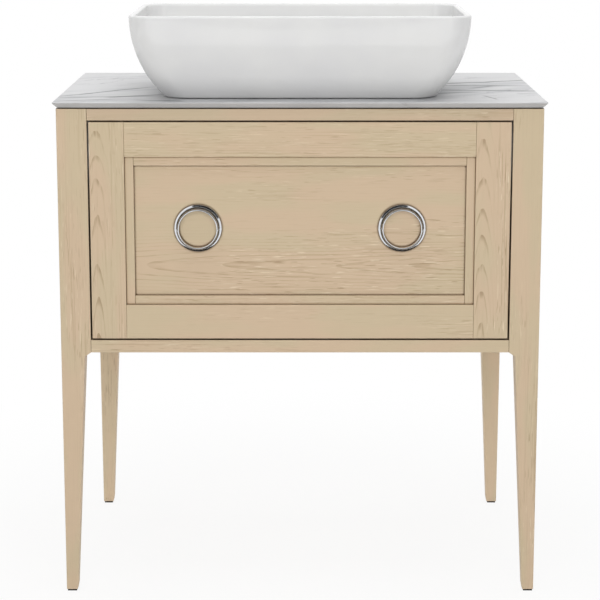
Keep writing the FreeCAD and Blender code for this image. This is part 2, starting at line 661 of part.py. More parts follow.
def ring_handles():
    """Chrome rings: a flange with a collar that rises in a hollow curve to a rounded lip, undercut inside."""
    base = V(HANDLE_BASE_RADIUS, 0, 0)
    across = V(1, 0, 0)
    forward = V(0, -1, 0)
    edge = base - across * HANDLE_FLANGE_EASE + forward * (HANDLE_FLANGE - HANDLE_FLANGE_EASE)
    hollow = (
        across * (HANDLE_COLLAR_RADIUS + HANDLE_COLLAR_FILLET)
        + forward * (HANDLE_FLANGE + HANDLE_COLLAR_FILLET)
    )
    crown = (
        across * (HANDLE_COLLAR_RADIUS - HANDLE_LIP_ROUND) + forward * (HANDLE_DEPTH - HANDLE_LIP_ROUND)
    )
    edge_arc = quarter_arc(edge, across * HANDLE_FLANGE_EASE, forward * HANDLE_FLANGE_EASE)
    hollow_arc = quarter_arc(hollow, forward * -HANDLE_COLLAR_FILLET, across * -HANDLE_COLLAR_FILLET)
    crown_arc = quarter_arc(crown, across * HANDLE_LIP_ROUND, forward * HANDLE_LIP_ROUND)
    lip = V(HANDLE_BORE_RADIUS, -HANDLE_DEPTH, 0)
    throat = V(HANDLE_BORE_RADIUS, HANDLE_LIP_DEPTH - HANDLE_DEPTH, 0)
    floor = V(HANDLE_UNDERCUT_RADIUS, 0, 0)
    corners = [base]
    edges = []
    for arc in (edge_arc, hollow_arc, crown_arc):
        edges.append(Part.LineSegment(corners[-1], arc.StartPoint).toShape())
        edges.append(arc.toShape())
        corners.append(arc.EndPoint)
    for corner in (lip, throat, floor, base):
        edges.append(Part.LineSegment(corners[-1], corner).toShape())
        corners.append(corner)
    section = Part.Face(Part.Wire(edges))
    handles = {}
    for name, side in SIDES.items():
        body = section.revolve(V(0, 0, 0), V(0, 1, 0), 360)
        body.translate(V(side * HANDLE_SPACING / 2, PANEL_FRONT, HANDLE_HEIGHT))
        handles["ring_handle_" + name] = body.cut(handle_screw_holes())
    return handles


def handle_screws():
    """Screws of both handles, one group."""
    screws = [screw(place, V(0, -1, 0), HANDLE_SCREW_LENGTH) for place in handle_screw_places()]
    return {"handle_screws": Part.makeCompound(screws)}


def drawer_tray():
    """Drawer bottom, cut out in a U behind, with its edges in the grooves of the box."""
    half = BOX_INNER_HALF + BOX_GROOVE_DEPTH
    z_range = (TRAY_BOTTOM, TRAY_TOP)
    board = block((-half, half), (BOX_FRONT_BACK - BOX_GROOVE_DEPTH, BOX_BACK), z_range)
    return board.cut(block((-WELL_HALF, WELL_HALF), (WELL_FRONT, BOX_BACK), z_range))


def runner_screw_places(x, side):
    """Points under the heads of one runner's screws, on the sheet at that distance from the middle."""
    return [V(side * x, y, RUNNER_HEIGHT_CENTRE) for y in RUNNER_SCREW_PLACES]


def drawer_box():
    """Drawer box of six boards round the U-shaped bottom, and three walls round the cut-out."""
    z_full = (BOX_BOTTOM, BOX_TOP)
    z_inner = (TRAY_TOP, BOX_TOP)
    tray = drawer_tray()
    pieces = {"drawer_bottom": tray}
    front = block((-BOX_INNER_HALF, BOX_INNER_HALF), (FRAME_BACK, BOX_FRONT_BACK), z_full)
    pieces["box_front"] = front.cut([tray] + front_screw_holes())
    well_y = (WELL_FRONT - WELL_WALL_THICKNESS, WELL_FRONT)
    pieces["well_front"] = block((-WELL_OUTER_HALF, WELL_OUTER_HALF), well_y, z_inner)
    for name, side in SIDES.items():
        board = block((side * BOX_INNER_HALF, side * BOX_HALF), (FRAME_BACK, BOX_BACK), z_full)
        pilot = [
            screw_hole(place, V(-side, 0, 0), RUNNER_SCREW_LENGTH)
            for place in runner_screw_places(BOX_HALF + RUNNER_SHEET, side)
        ]
        pieces["box_side_" + name] = board.cut([tray] + pilot)
        back_y = (BOX_BACK - WELL_WALL_THICKNESS, BOX_BACK)
        back_x = (side * WELL_OUTER_HALF, side * BOX_INNER_HALF)
        pieces["box_back_" + name] = block(back_x, back_y, z_inner)
        wall_x = (side * WELL_HALF, side * WELL_OUTER_HALF)
        pieces["well_side_" + name] = block(wall_x, (WELL_FRONT, BOX_BACK), z_inner)
    return pieces


def front_screws():
    """Screws from inside the box into the drawer front, one group."""
    screws = [screw(place, V(0, -1, 0), FRONT_SCREW_LENGTH) for place in front_screw_places()]
    return {"front_screws": Part.makeCompound(screws)}


def runner_packers():
    """Battens on the side panels, between post and rear leg, that carry the fixed runners."""
    packers = {}
    z_range = (RUNNER_HEIGHT_CENTRE - PACKER_HEIGHT / 2, RUNNER_HEIGHT_CENTRE + PACKER_HEIGHT / 2)
    for name, side in SIDES.items():
        board = block((side * REAR_LEG_INNER, side * SIDE_INNER), (POST_BACK, REAR_LEG_FRONT), z_range)
        pilot = [
            screw_hole(place, V(side, 0, 0), RUNNER_SCREW_LENGTH)
            for place in runner_screw_places(REAR_LEG_INNER - RUNNER_SHEET, side)
        ]
        packers["runner_packer_" + name] = board.cut(pilot)
    return packers


def runner_channel(side, web_x, flange_x, outer_half, race):
    """A channel along Y: an upright web and two level flanges, each as deep as its ball race."""
    y_range = (RUNNER_FRONT, RUNNER_BACK)
    centre = RUNNER_HEIGHT_CENTRE
    web = block((side * web_x[0], side * web_x[1]), y_range, (centre - outer_half, centre + outer_half))
    flanges = []
    for way in (1, -1):
        z_range = (centre + way * outer_half, centre + way * (outer_half - race))
        flanges.append(block((side * flange_x[0], side * flange_x[1]), y_range, z_range))
    return web.fuse(flanges).removeSplitter()


def runners():
    """Telescopic runners: the fixed channel holds the middle one, which holds the drawer's."""
    pieces = {}
    outer_half = RUNNER_HEIGHT / 2
    middle_half = outer_half - RUNNER_SHEET - RUNNER_PLAY
    inner_half = middle_half - RUNNER_RACE_HEIGHT - RUNNER_PLAY
    fixed_mouth = BOX_HALF + RUNNER_MOUTH
    lip_x = (fixed_mouth, fixed_mouth + RUNNER_SHEET)
    middle_mouth = fixed_mouth + RUNNER_SHEET + RUNNER_PLAY
    middle_web = REAR_LEG_INNER - RUNNER_SHEET - RUNNER_WEB_GAP
    drawer_web = BOX_HALF + RUNNER_SHEET
    drawer_reach = middle_web - RUNNER_SHEET - RUNNER_PLAY
    for name, side in SIDES.items():
        fixed = runner_channel(
            side, (REAR_LEG_INNER - RUNNER_SHEET, REAR_LEG_INNER), (fixed_mouth, REAR_LEG_INNER),
            outer_half, RUNNER_SHEET,
        )
        lips = []
        for way in (1, -1):
            top = RUNNER_HEIGHT_CENTRE + way * outer_half
            lip_z = (top, top - way * (RUNNER_SHEET + RUNNER_LIP_HEIGHT))
            lips.append(block((side * lip_x[0], side * lip_x[1]), (RUNNER_FRONT, RUNNER_BACK), lip_z))
        fixed = fixed.fuse(lips).removeSplitter()
        holes = [
            screw_hole(place, V(side, 0, 0), RUNNER_SHEET)
            for place in runner_screw_places(REAR_LEG_INNER - RUNNER_SHEET, side)
        ]
        pieces["runner_fixed_" + name] = fixed.cut(holes)
        pieces["runner_middle_" + name] = runner_channel(
            side, (middle_web - RUNNER_SHEET, middle_web), (middle_mouth, middle_web),
            middle_half, RUNNER_RACE_HEIGHT,
        )
        moving = runner_channel(
            side, (BOX_HALF, drawer_web), (BOX_HALF, drawer_reach), inner_half, RUNNER_RACE_HEIGHT,
        )
        holes = [
            screw_hole(place, V(-side, 0, 0), RUNNER_SHEET)
            for place in runner_screw_places(drawer_web, side)
        ]
        pieces["runner_drawer_" + name] = moving.cut(holes)
    return pieces


def runner_screws():
    """Screws of the fixed runners and of the drawer's runners, one group for each."""
    fixed = []
    moving = []
    for side in SIDES.values():
        for place in runner_screw_places(REAR_LEG_INNER - RUNNER_SHEET, side):
            fixed.append(screw(place, V(side, 0, 0), RUNNER_SCREW_LENGTH))
        for place in runner_screw_places(BOX_HALF + RUNNER_SHEET, side):
            moving.append(screw(place, V(-side, 0, 0), RUNNER_SCREW_LENGTH))
    return {
        "runner_screws": Part.makeCompound(fixed),
        "box_screws": Part.makeCompound(moving),
    }


def main():
    """Make every piece and write each to its own file."""
    os.makedirs("parts", exist_ok=True)
    makers = (
        front_posts, rear_legs, foot_glides, side_panels, front_rails, back_boards,
        marble_top, top_bedding, basin, basin_bedding, basin_waste, waste_plug,
        drawer_frame, drawer_panel, drawer_beads, ring_handles, handle_screws,
        drawer_box, front_screws, runner_packers, runners, runner_screws,
    )
    for maker in makers:
        for node, shape in maker().items():
            shape.exportStep("parts/" + node + ".step")


main()
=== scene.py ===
"""Looks of the vanity unit: its finishes, basin, ring pulls, waste plug, screws and the studio round it.

Metres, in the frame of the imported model: +Z is up, the front faces -Y and +X is to the right.
"""
import itertools
import logging
import math
from dataclasses import dataclass
from enum import Enum

import bmesh
import bpy
from mathutils import Matrix, Vector


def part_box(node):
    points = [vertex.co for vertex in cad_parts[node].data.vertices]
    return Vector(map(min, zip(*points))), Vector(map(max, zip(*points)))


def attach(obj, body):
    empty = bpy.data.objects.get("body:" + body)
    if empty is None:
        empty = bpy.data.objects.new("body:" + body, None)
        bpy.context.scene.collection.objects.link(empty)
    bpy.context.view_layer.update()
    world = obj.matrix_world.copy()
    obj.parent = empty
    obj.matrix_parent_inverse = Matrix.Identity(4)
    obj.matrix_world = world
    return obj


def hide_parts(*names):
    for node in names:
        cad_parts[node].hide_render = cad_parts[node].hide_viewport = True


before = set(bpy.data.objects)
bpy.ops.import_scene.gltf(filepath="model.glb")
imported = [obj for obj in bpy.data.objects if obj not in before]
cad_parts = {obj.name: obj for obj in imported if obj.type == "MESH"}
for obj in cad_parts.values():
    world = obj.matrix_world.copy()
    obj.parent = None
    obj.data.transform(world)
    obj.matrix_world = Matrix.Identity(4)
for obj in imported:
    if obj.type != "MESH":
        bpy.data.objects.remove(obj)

LOG = logging.getLogger("vanity")
Colour = tuple[float, float, float, float]
Triple = tuple[float, float, float]
Span = tuple[float, float]
Socket = bpy.types.NodeSocket
Value = Socket | float | Colour | Triple
Material = bpy.types.Material
Shape = bmesh.types.BMesh
Point = bmesh.types.BMVert
Edge = bmesh.types.BMEdge
SIDES = {"left": -1.0, "right": 1.0}
MILLIMETRE = 0.001
SHARP_FROM = 32.0
WHITE: Colour = (1.0, 1.0, 1.0, 1.0)
WHOLE: Span = (0.0, 1.0)
MIDDLE: Span = (0.3, 0.7)


def paint(red: int, green: int, blue: int) -> Colour:
    """Turn a colour as seen on a screen, 0 to 255, into the linear colour that shaders take.

    Args:
        red: Red as displayed.
        green: Green as displayed.
        blue: Blue as displayed.

    Returns:
        The linear colour with full alpha.
    """
    parts = []
    for shown in (red, green, blue):
        share = shown / 255
        parts.append(share / 12.92 if share <= 0.04045 else ((share + 0.055) / 1.055) ** 2.4)
    return (parts[0], parts[1], parts[2], 1.0)


def even(count: float) -> Triple:
    """The same number of features along X, Y and Z."""
    return (count, count, count)


class Grain(Enum):
    """Direction in which the fibres of a timber piece run, as the turn that lays them along X."""

    LEVEL = (0.0, 0.0, 0.0)
    UPRIGHT = (0.0, math.pi / 2, 0.0)


class Nodes:
    """A node tree that is filled node by node."""

    def __init__(self, tree: bpy.types.NodeTree) -> None:
        """Take over a tree and empty it."""
        self.tree = tree
        self.tree.nodes.clear()

    def give(self, socket: Socket, value: Value) -> None:
        """Link a socket to another one, or set it to a plain value.

        Args:
            socket: The input to fill.
            value: An output socket, a number or a colour.
        """
        if isinstance(value, bpy.types.NodeSocket):
            self.tree.links.new(value, socket)
        else:
            socket.default_value = value

    def add(self, kind: str, inputs: dict[str | int, Value], **choices: str | int) -> bpy.types.Node:
        """Add a node and fill it.

        Args:
            kind: Blender's name for the node, after the words that all shader nodes share.
            inputs: Value or socket for each input, by name or number.
            choices: Settings of the node itself.

        Returns:
            The node.
        """
        node = self.tree.nodes.new("ShaderNode" + kind)
        for name, choice in choices.items():
            setattr(node, name, choice)
        for name, value in inputs.items():
            self.give(node.inputs[name], value)
        return node

    def maths(self, operation: str, first: Value, second: Value = 0.0) -> Socket:
        """Work out one sum on two values, by Blender's name for it."""
        return self.add("Math", {0: first, 1: second}, operation=operation).outputs["Value"]

    def times(self, first: Value, second: Value) -> Socket:
        """Multiply two values."""
        return self.maths("MULTIPLY", first, second)

    def direct(self) -> Socket:
        """Tell rays that show a thing from rays that gather its light.

        Returns:
            1 for rays from the lens, off mirrors and through clear things, and 0 for all others.
        """
        path = self.add("LightPath", {})
        seen = path.outputs["Is Camera Ray"]
        for ray in ("Is Glossy Ray", "Is Transmission Ray"):
            seen = self.maths("MAXIMUM", seen, path.outputs[ray])
        return seen


class Recipe(Nodes):
    """A material while it is being mixed: nodes are added and linked to one Principled shader."""

    def __init__(self, name: str) -> None:
        """Start a material that holds only its shader and output.

        Args:
            name: Name of the material.
        """
        self.material = bpy.data.materials.new(name)
        self.material.use_nodes = True
        super().__init__(self.material.node_tree)
        self.shader = self.add("BsdfPrincipled", {})
        self.output = self.add("OutputMaterial", {"Surface": self.shader.outputs["BSDF"]})

    def place(self, turn: Triple = (0.0, 0.0, 0.0), shift: Triple = (0.0, 0.0, 0.0)) -> Socket:
        """Object coordinates, turned by radians about X, Y and Z and then moved."""
        spot = self.add("TexCoord", {}).outputs["Object"]
        return self.add("Mapping", {"Vector": spot, "Rotation": turn, "Location": shift}).outputs["Vector"]

    def noise(self, vector: Socket, scale: Triple, detail: float = 2.0, distortion: float = 0.0) -> Socket:
        """Soft random pattern, drawn out along the directions in which its scale is small.

        Args:
            vector: Where the pattern is read.
            scale: Features for each metre along X, Y and Z.
            detail: How many finer layers lie over the first.
            distortion: How strongly the pattern is bent.

        Returns:
            A value from about 0 to 1.
        """
        spot = self.add("VectorMath", {0: vector, 1: scale}, operation="MULTIPLY").outputs["Vector"]
        inputs = {"Vector": spot, "Scale": 1.0, "Detail": detail, "Distortion": distortion}
        return self.add("TexNoise", inputs).outputs["Fac"]

    def length(self, first: Value, second: Value) -> Socket:
        """Distance from the origin of a point given by two values."""
        squares = self.maths("ADD", self.maths("POWER", first, 2.0), self.maths("POWER", second, 2.0))
        return self.maths("SQRT", squares)

    def ease(self, value: Value, span: Span, result: Span = WHOLE) -> Socket:
        """Step smoothly from one result to another while a value crosses a span.

        Args:
            value: The value.
            span: Where the step begins and ends.
            result: What comes out at those two ends.

        Returns:
            The stepped value.
        """
        inputs = {"Value": value, "From Min": span[0], "From Max": span[1]}
        inputs.update({"To Min": result[0], "To Max": result[1]})
        return self.add("MapRange", inputs, interpolation_type="SMOOTHSTEP").outputs["Result"]

    def mix(self, share: Value, first: Value, second: Value) -> Socket:
        """Blend two colours, by the share of the second."""
        return self.add("Mix", {0: share, 6: first, 7: second}, data_type="RGBA").outputs[2]

    def parts(self, vector: Socket) -> tuple[Socket, Socket, Socket]:
        """Split a vector into its X, Y and Z."""
        node = self.add("SeparateXYZ", {"Vector": vector})
        return node.outputs["X"], node.outputs["Y"], node.outputs["Z"]

    def openness(self, distance: float) -> Socket:
        """How open the surroundings are within a distance: 1 on a free face, near 0 deep in a narrow slot."""
        return self.add("AmbientOcclusion", {"Distance": distance}, samples=6).outputs["AO"]

    def relief(self, height: Socket, depth: float) -> None:
        """Raise the surface by a pattern from 0 to 1, to a depth in metres."""
        bump = self.add("Bump", {"Height": height, "Distance": depth})
        self.give(self.shader.inputs["Normal"], bump.outputs["Normal"])

    def surface(self, colour: Value, rough: Value, gloss: float = 0.5, metal: float = 0.0) -> Material:
        """Fill the shader.

        Args:
            colour: Colour of the surface.
            rough: How rough it is, 0 to 1.
            gloss: How strongly it mirrors, with 0.5 for common clear coats.
            metal: 1 for metal and 0 for all else.

        Returns:
            The finished material.
        """
        inputs = {"Base Color": colour, "Roughness": rough, "Specular IOR Level": gloss, "Metallic": metal}
        for name, value in inputs.items():
            self.give(self.shader.inputs[name], value)
        return self.material


def wear(node: str, material: Material) -> None:
    """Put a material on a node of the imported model.

    Args:
        node: Name of the node.
        material: Its finish.
    """
    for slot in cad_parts[node].material_slots:
        slot.material = material
    LOG.info("%s wears %s", node, material.name)


@dataclass(frozen=True)
class Oak:
    """Pale lacquered oak: thin ring lines, faint streaks, and open pores, each with a painted highlight
    beside it.

    The heart of the log runs behind the face and leans towards it, so its rings draw arches there.
    The figure is clearest over the heart, and between its patches the wood is nearly plain.
    Joints and narrow slots get painted shade, darker the more enclosed they are.
    """

    grain: Grain
    along: float = 0.0
    across: float = 0.05
    behind: float = 0.03
    lean: float = 0.05
    ring_width: float = 0.0036
    figure_half: float = 0.03
    contrast: float = 1.0
    bend: float = 0.016
    ripple: float = 0.0016
    # Shift from each pore to its painted highlight.
    pore_step: Triple = (0.0, 0.0016, 0.0016)
    pore_size: Triple = (34.0, 620.0, 620.0)
    bend_size: Triple = (3.0, 9.0, 9.0)
    ripple_size: Triple = (26.0, 110.0, 110.0)
    break_size: Triple = (24.0, 240.0, 240.0)
    figure_size: Triple = (2.4, 17.0, 17.0)
    streak_size: Triple = (6.0, 400.0, 400.0)
    patch_size: Triple = (6.0, 26.0, 26.0)
    pore_span: Span = (0.64, 0.71)
    line_span: Span = (0.70, 0.95)
    break_span: Span = (0.36, 0.60)
    figure_span: Span = (0.44, 0.62)
    streak_span: Span = (0.52, 0.72)
    patch_span: Span = (0.40, 0.60)
    joint_shade_span: Span = (0.50, 0.92)
    slot_shade_span: Span = (0.04, 0.28)
    near_tone: Span = (0.10, 1.0)
    break_tone: Span = (0.30, 1.0)
    figure_tone: Span = (0.12, 1.0)
    ring_tone: float = 0.62
    streak_tone: float = 0.42
    pore_tone: float = 0.55
    pore_highlight_tone: float = 0.65
    rough: Span = (0.48, 0.64)
    gloss: float = 0.3
    slot: float = 4 * MILLIMETRE
    depth: float = 0.1 * MILLIMETRE
    ring_depth: float = 0.3
    warm: Colour = paint(209, 186, 158)
    cool: Colour = paint(205, 187, 157)
    late_wood: Colour = paint(172, 147, 115)
    pore: Colour = paint(160, 134, 102)
    pore_highlight: Colour = paint(228, 212, 186)
    # Colours of painted shade: brown in joints, near black in narrow slots.
    joint: Colour = paint(92, 69, 47)
    slot_shade: Colour = paint(26, 19, 13)

    def shift(self, node: str) -> Triple:
        """Move that sets the heart of the log beside the middle of a piece.

        Args:
            node: The piece.

        Returns:
            The move, in the turned directions of the grain.
        """
        low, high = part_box(node)
        turn = Matrix.Identity(3)
        for angle, axis in zip(self.grain.value, "XYZ"):
            turn = Matrix.Rotation(angle, 3, axis) @ turn
        middle = turn @ ((low + high) / 2)
        return (self.along - middle.x, self.across - middle.y, self.behind - middle.z)

    def pores(self, mixed: Recipe, shift: Triple) -> Socket:
        """Short open pores along the fibres, 0 to 1, in a pattern that is moved by the shift."""
        spot = mixed.place(self.grain.value, shift)
        return mixed.ease(mixed.noise(spot, self.pore_size, detail=1.0), self.pore_span)

    def rings(self, mixed: Recipe, spot: Socket) -> Socket:
        """Thin dark line at the end of each growth ring.

        Args:
            mixed: The material.
            spot: Where the pattern is read, with the fibres along X.

        Returns:
            The depth of the lines, 0 to 1.
        """
        fibre, side, depth = mixed.parts(spot)
        fall = mixed.times(mixed.maths("SUBTRACT", fibre, self.along), self.lean)
        reach = mixed.length(mixed.maths("ADD", side, fall), depth)
        wander = mixed.noise(spot, self.bend_size, detail=1.5)
        ripple = mixed.noise(spot, self.ripple_size, detail=1.0)
        for bend, size in ((wander, self.bend), (ripple, self.ripple)):
            reach = mixed.maths("ADD", reach, mixed.times(bend, size))
        year = mixed.maths("FRACT", mixed.maths("DIVIDE", reach, self.ring_width))
        lines = mixed.ease(year, self.line_span)
        near = mixed.ease(mixed.maths("ABSOLUTE", depth), (self.figure_half, 0.0), self.near_tone)
        broken = mixed.ease(mixed.noise(spot, self.break_size), self.break_span, self.break_tone)
        return mixed.times(mixed.times(lines, near), broken)

    def dress(self, node: str) -> None:
        """Mix the timber for one piece and put it on.

        Args:
            node: The piece, whose middle the pattern is set out from.
        """
        mixed = Recipe("oak_" + node)
        shift = self.shift(node)
        spot = mixed.place(self.grain.value, shift)
        figured = mixed.noise(spot, self.figure_size, detail=1.0)
        figured = mixed.ease(figured, self.figure_span, self.figure_tone)
        rings = self.rings(mixed, spot)
        streaks = mixed.ease(mixed.noise(spot, self.streak_size), self.streak_span)
        pores = mixed.times(self.pores(mixed, shift), figured)
        # The same pores a little shifted: a painted highlight beside each dark pore.
        beside = self.pores(mixed, tuple(part + step for part, step in zip(shift, self.pore_step)))
        pore_highlights = mixed.maths("SUBTRACT", mixed.times(beside, figured), pores)
        patch = mixed.noise(spot, self.patch_size, detail=1.0)

        colour = mixed.mix(mixed.ease(patch, self.patch_span), self.warm, self.cool)
        for marks, tone, tint in (
            (rings, self.ring_tone, self.late_wood),
            (mixed.times(streaks, figured), self.streak_tone * self.contrast, self.late_wood),
            (pores, self.pore_tone * self.contrast, self.pore),
        ):
            colour = mixed.mix(mixed.times(marks, tone), colour, tint)
        # Painted highlight: the shifted pores lighten the wood where no pore lies.
        light = mixed.ease(pore_highlights, WHOLE, (0.0, self.pore_highlight_tone * self.contrast))
        colour = mixed.mix(light, colour, self.pore_highlight)
        # Painted shade: joints go brown and narrow slots near black, by how enclosed they are.
        openness = mixed.openness(self.slot)
        colour = mixed.mix(mixed.ease(openness, self.joint_shade_span), self.joint, colour)
        colour = mixed.mix(mixed.ease(openness, self.slot_shade_span), self.slot_shade, colour)
        mixed.relief(mixed.maths("SUBTRACT", mixed.times(rings, self.ring_depth), pores), self.depth)
        wear(node, mixed.surface(colour, mixed.ease(pores, WHOLE, self.rough), self.gloss))


@dataclass(frozen=True)
class BirchPly:
    """Clear-lacquered birch plywood: fine figure on the faces, bands of veneer on the edges and painted shade
    in narrow slots.
    """

    veneer: float = 1.5 * MILLIMETRE
    skin: float = 0.5 * MILLIMETRE
    skin_end: float = 0.8 * MILLIMETRE
    fine_across: float = 260.0
    fine_along: float = 7.0
    flame_across: float = 24.0
    flame_along: float = 3.0
    flame_bend: float = 0.6
    figure_span: Span = (0.40, 0.72)
    flame_span: Span = (0.48, 0.66)
    band_span: Span = (0.42, 0.58)
    slot_shade_span: Span = (0.30, 0.74)
    figure_tone: float = 0.5
    flame_tone: float = 0.32
    band_tone: float = 0.75
    rough: Span = (0.42, 0.56)
    gloss: float = 0.35
    slot: float = 4 * MILLIMETRE
    depth: float = 0.08 * MILLIMETRE
    face: Colour = paint(219, 198, 164)
    figure: Colour = paint(201, 175, 137)
    end_veneer: Colour = paint(158, 124, 86)
    slot_shade: Colour = paint(46, 34, 24)

    def dress(self, node: str) -> None:
        """Mix the board for one piece, with its veneers stacked across its thinnest side.

        Args:
            node: The piece.
        """
        low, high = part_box(node)
        size = list(high - low)
        thin = size.index(min(size))
        long = size.index(max(size))
        mixed = Recipe("ply_" + node)
        spot = mixed.place(shift=tuple(-corner for corner in low))
        through = mixed.parts(spot)[thin]
        layer = mixed.maths("ADD", mixed.maths("DIVIDE", through, self.veneer), 0.5)
        odd = mixed.ease(mixed.maths("PINGPONG", layer, 1.0), self.band_span)
        inside = mixed.ease(mixed.maths("PINGPONG", through, size[thin] / 2), (self.skin, self.skin_end))
        fine = list(even(self.fine_across))
        fine[long] = self.fine_along
        broad = list(even(self.flame_across))
        broad[long] = self.flame_along
        figure = mixed.noise(spot, fine)
        flame = mixed.noise(spot, broad, distortion=self.flame_bend)
        figured = mixed.ease(figure, self.figure_span, (0.0, self.figure_tone))
        colour = mixed.mix(figured, self.face, self.figure)
        flamed = mixed.ease(flame, self.flame_span, (0.0, self.flame_tone))
        colour = mixed.mix(flamed, colour, self.figure)
        bands = mixed.times(mixed.times(odd, inside), self.band_tone)
        colour = mixed.mix(bands, colour, self.end_veneer)
        # Painted shade: narrow slots go near black by how enclosed they are.
        colour = mixed.mix(mixed.ease(mixed.openness(self.slot), self.slot_shade_span), self.slot_shade, colour)
        mixed.relief(mixed.maths("SUBTRACT", figure, bands), self.depth)
        wear(node, mixed.surface(colour, mixed.ease(figure, MIDDLE, self.rough), self.gloss))


@dataclass(frozen=True)
class Vein:
    """One vein in the marble, as a line in plan with a half width, a reach and a depth of tone."""

    across: float
    deep: float
    turn: float
    half_width: float
    reach: float
    tone: float


@dataclass(frozen=True)
class Marble:
    """Pale grey honed marble with smoky bands, long veins and finer ones between them, and painted shade on
    its edge.
    """

    ground: Colour = paint(212, 212, 213)
    smoke: Colour = paint(186, 187, 189)
    vein: Colour = paint(92, 93, 97)
    # Colour of the painted shade on the edge face.
    painted_edge_shade: Colour = paint(176, 174, 171)
    arris: float = 1.2 * MILLIMETRE
    wander: float = 0.016
    slant: float = -32.0
    bend_size: Triple = even(22.0)
    grit_size: Triple = even(900.0)
    cloud_size: Triple = (3.2, 12.0, 12.0)
    thread_size: Triple = (5.0, 17.0, 17.0)
    show_size: Triple = (4.0, 6.0, 6.0)
    cloud_span: Span = (0.42, 0.66)
    show_span: Span = (0.46, 0.60)
    thread_half: float = 0.022
    cloud_tone: float = 0.72
    thread_tone: float = 0.34
    painted_edge_shade_tone: float = 0.6
    fade_from: float = 0.45
    rough: Span = (0.42, 0.54)
    gloss: float = 0.2
    depth: float = 0.02 * MILLIMETRE
    veins: tuple[Vein, ...] = (
        Vein(-0.314, -0.077, 47.0, 0.0055, 0.12, 1.00),
        Vein(-0.302, -0.154, 8.0, 0.0100, 0.10, 0.55),
        Vein(-0.334, -0.200, 20.0, 0.0090, 0.07, 0.50),
        Vein(-0.259, -0.141, 28.0, 0.0090, 0.06, 0.75),
        Vein(-0.218, -0.206, -13.0, 0.0080, 0.05, 0.80),
        Vein(0.278, 0.066, 17.0, 0.0080, 0.055, 0.85),
        Vein(0.342, 0.092, 26.0, 0.0080, 0.06, 0.85),
        Vein(0.308, 0.019, -4.0, 0.0080, 0.10, 0.80),
        Vein(0.304, -0.059, -7.0, 0.0110, 0.11, 0.75),
        Vein(0.300, -0.002, 45.0, 0.0090, 0.04, 0.60),
        Vein(0.300, -0.164, 107.0, 0.0045, 0.035, 0.60),
        Vein(0.252, -0.092, 21.0, 0.0100, 0.05, 0.55),
        # Not a vein: a wide band of painted shade along the front strip of the slab, below the basin.
        Vein(0.000, -0.215, 0.0, 0.0300, 0.40, 0.16),
        Vein(-0.200, 0.190, 30.0, 0.0050, 0.12, 0.45),
        Vein(0.100, 0.200, 22.0, 0.0060, 0.14, 0.40),
    )

    def line(self, mixed: Recipe, spot: Socket, drift: Socket, vein: Vein) -> Socket:
        """Draw one vein, wandering a little and fading out at both ends.

        Args:
            mixed: The material.
            spot: Where the pattern is read.
            drift: Sideways wander in metres.
            vein: The vein.

        Returns:
            Its depth of tone at each point.
        """
        turn = math.radians(vein.turn)
        across, deep, _ = mixed.parts(spot)
        across = mixed.maths("SUBTRACT", across, vein.across)
        deep = mixed.maths("SUBTRACT", deep, vein.deep)
        aside = mixed.maths(
            "SUBTRACT", mixed.times(deep, math.cos(turn)), mixed.times(across, math.sin(turn)),
        )
        along = mixed.maths("ADD", mixed.times(across, math.cos(turn)), mixed.times(deep, math.sin(turn)))
        aside = mixed.maths("ABSOLUTE", mixed.maths("ADD", aside, drift))
        band = mixed.ease(aside, (vein.half_width, 0.0))
        fade = mixed.ease(mixed.maths("ABSOLUTE", along), (vein.reach, vein.reach * self.fade_from))
        return mixed.times(mixed.times(band, fade), vein.tone)

    def dress(self, node: str) -> None:
        """Mix the stone and put it on the slab.

        Args:
            node: The slab.
        """
        mixed = Recipe("marble")
        spot = mixed.place()
        bends = mixed.noise(spot, self.bend_size, detail=3.0)
        drift = mixed.times(mixed.maths("SUBTRACT", bends, 0.5), self.wander)
        slanted = mixed.place(turn=(0.0, 0.0, math.radians(self.slant)))
        clouds = mixed.noise(slanted, self.cloud_size, detail=4.0, distortion=0.9)
        threads = mixed.noise(slanted, self.thread_size, detail=5.0, distortion=1.2)
        threads = mixed.maths("ABSOLUTE", mixed.maths("SUBTRACT", threads, 0.5))
        threads = mixed.ease(threads, (self.thread_half, 0.0))
        shown = mixed.noise(slanted, self.show_size)
        shown = mixed.ease(shown, self.show_span, (0.0, self.thread_tone))
        grit = mixed.noise(spot, self.grit_size, detail=1.0)

        smoky = mixed.ease(clouds, self.cloud_span, (0.0, self.cloud_tone))
        colour = mixed.mix(smoky, self.ground, self.smoke)
        colour = mixed.mix(mixed.times(threads, shown), colour, self.vein)
        for vein in self.veins:
            colour = mixed.mix(self.line(mixed, spot, drift, vein), colour, self.vein)
        # Painted shade: the edge face below the top arris is darkened.
        _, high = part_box(node)
        edge = (high.z, high.z - self.arris)
        below = mixed.ease(mixed.parts(spot)[2], edge, (0.0, self.painted_edge_shade_tone))
        colour = mixed.mix(below, colour, self.painted_edge_shade)
        mixed.relief(grit, self.depth)
        wear(node, mixed.surface(colour, mixed.ease(grit, MIDDLE, self.rough), self.gloss))


@dataclass(frozen=True)
class Glaze:
    """Gloss white glaze, very slightly uneven in tone and surface, as fired ware is."""

    light: Colour = paint(229, 229, 228)
    shade: Colour = paint(225, 225, 225)
    tone_size: Triple = even(9.0)
    tone_span: Span = (0.35, 0.65)
    wave_size: Triple = even(26.0)
    rough: Span = (0.07, 0.11)
    depth: float = 0.25 * MILLIMETRE

    def mixed(self) -> Material:
        """Mix the glaze.

        Returns:
            Its material.
        """
        mixed = Recipe("white_glaze")
        spot = mixed.place()
        tone = mixed.noise(spot, self.tone_size)
        mixed.relief(mixed.noise(spot, self.wave_size, detail=1.0), self.depth)
        colour = mixed.mix(mixed.ease(tone, self.tone_span), self.light, self.shade)
        return mixed.surface(colour, mixed.ease(tone, MIDDLE, self.rough))


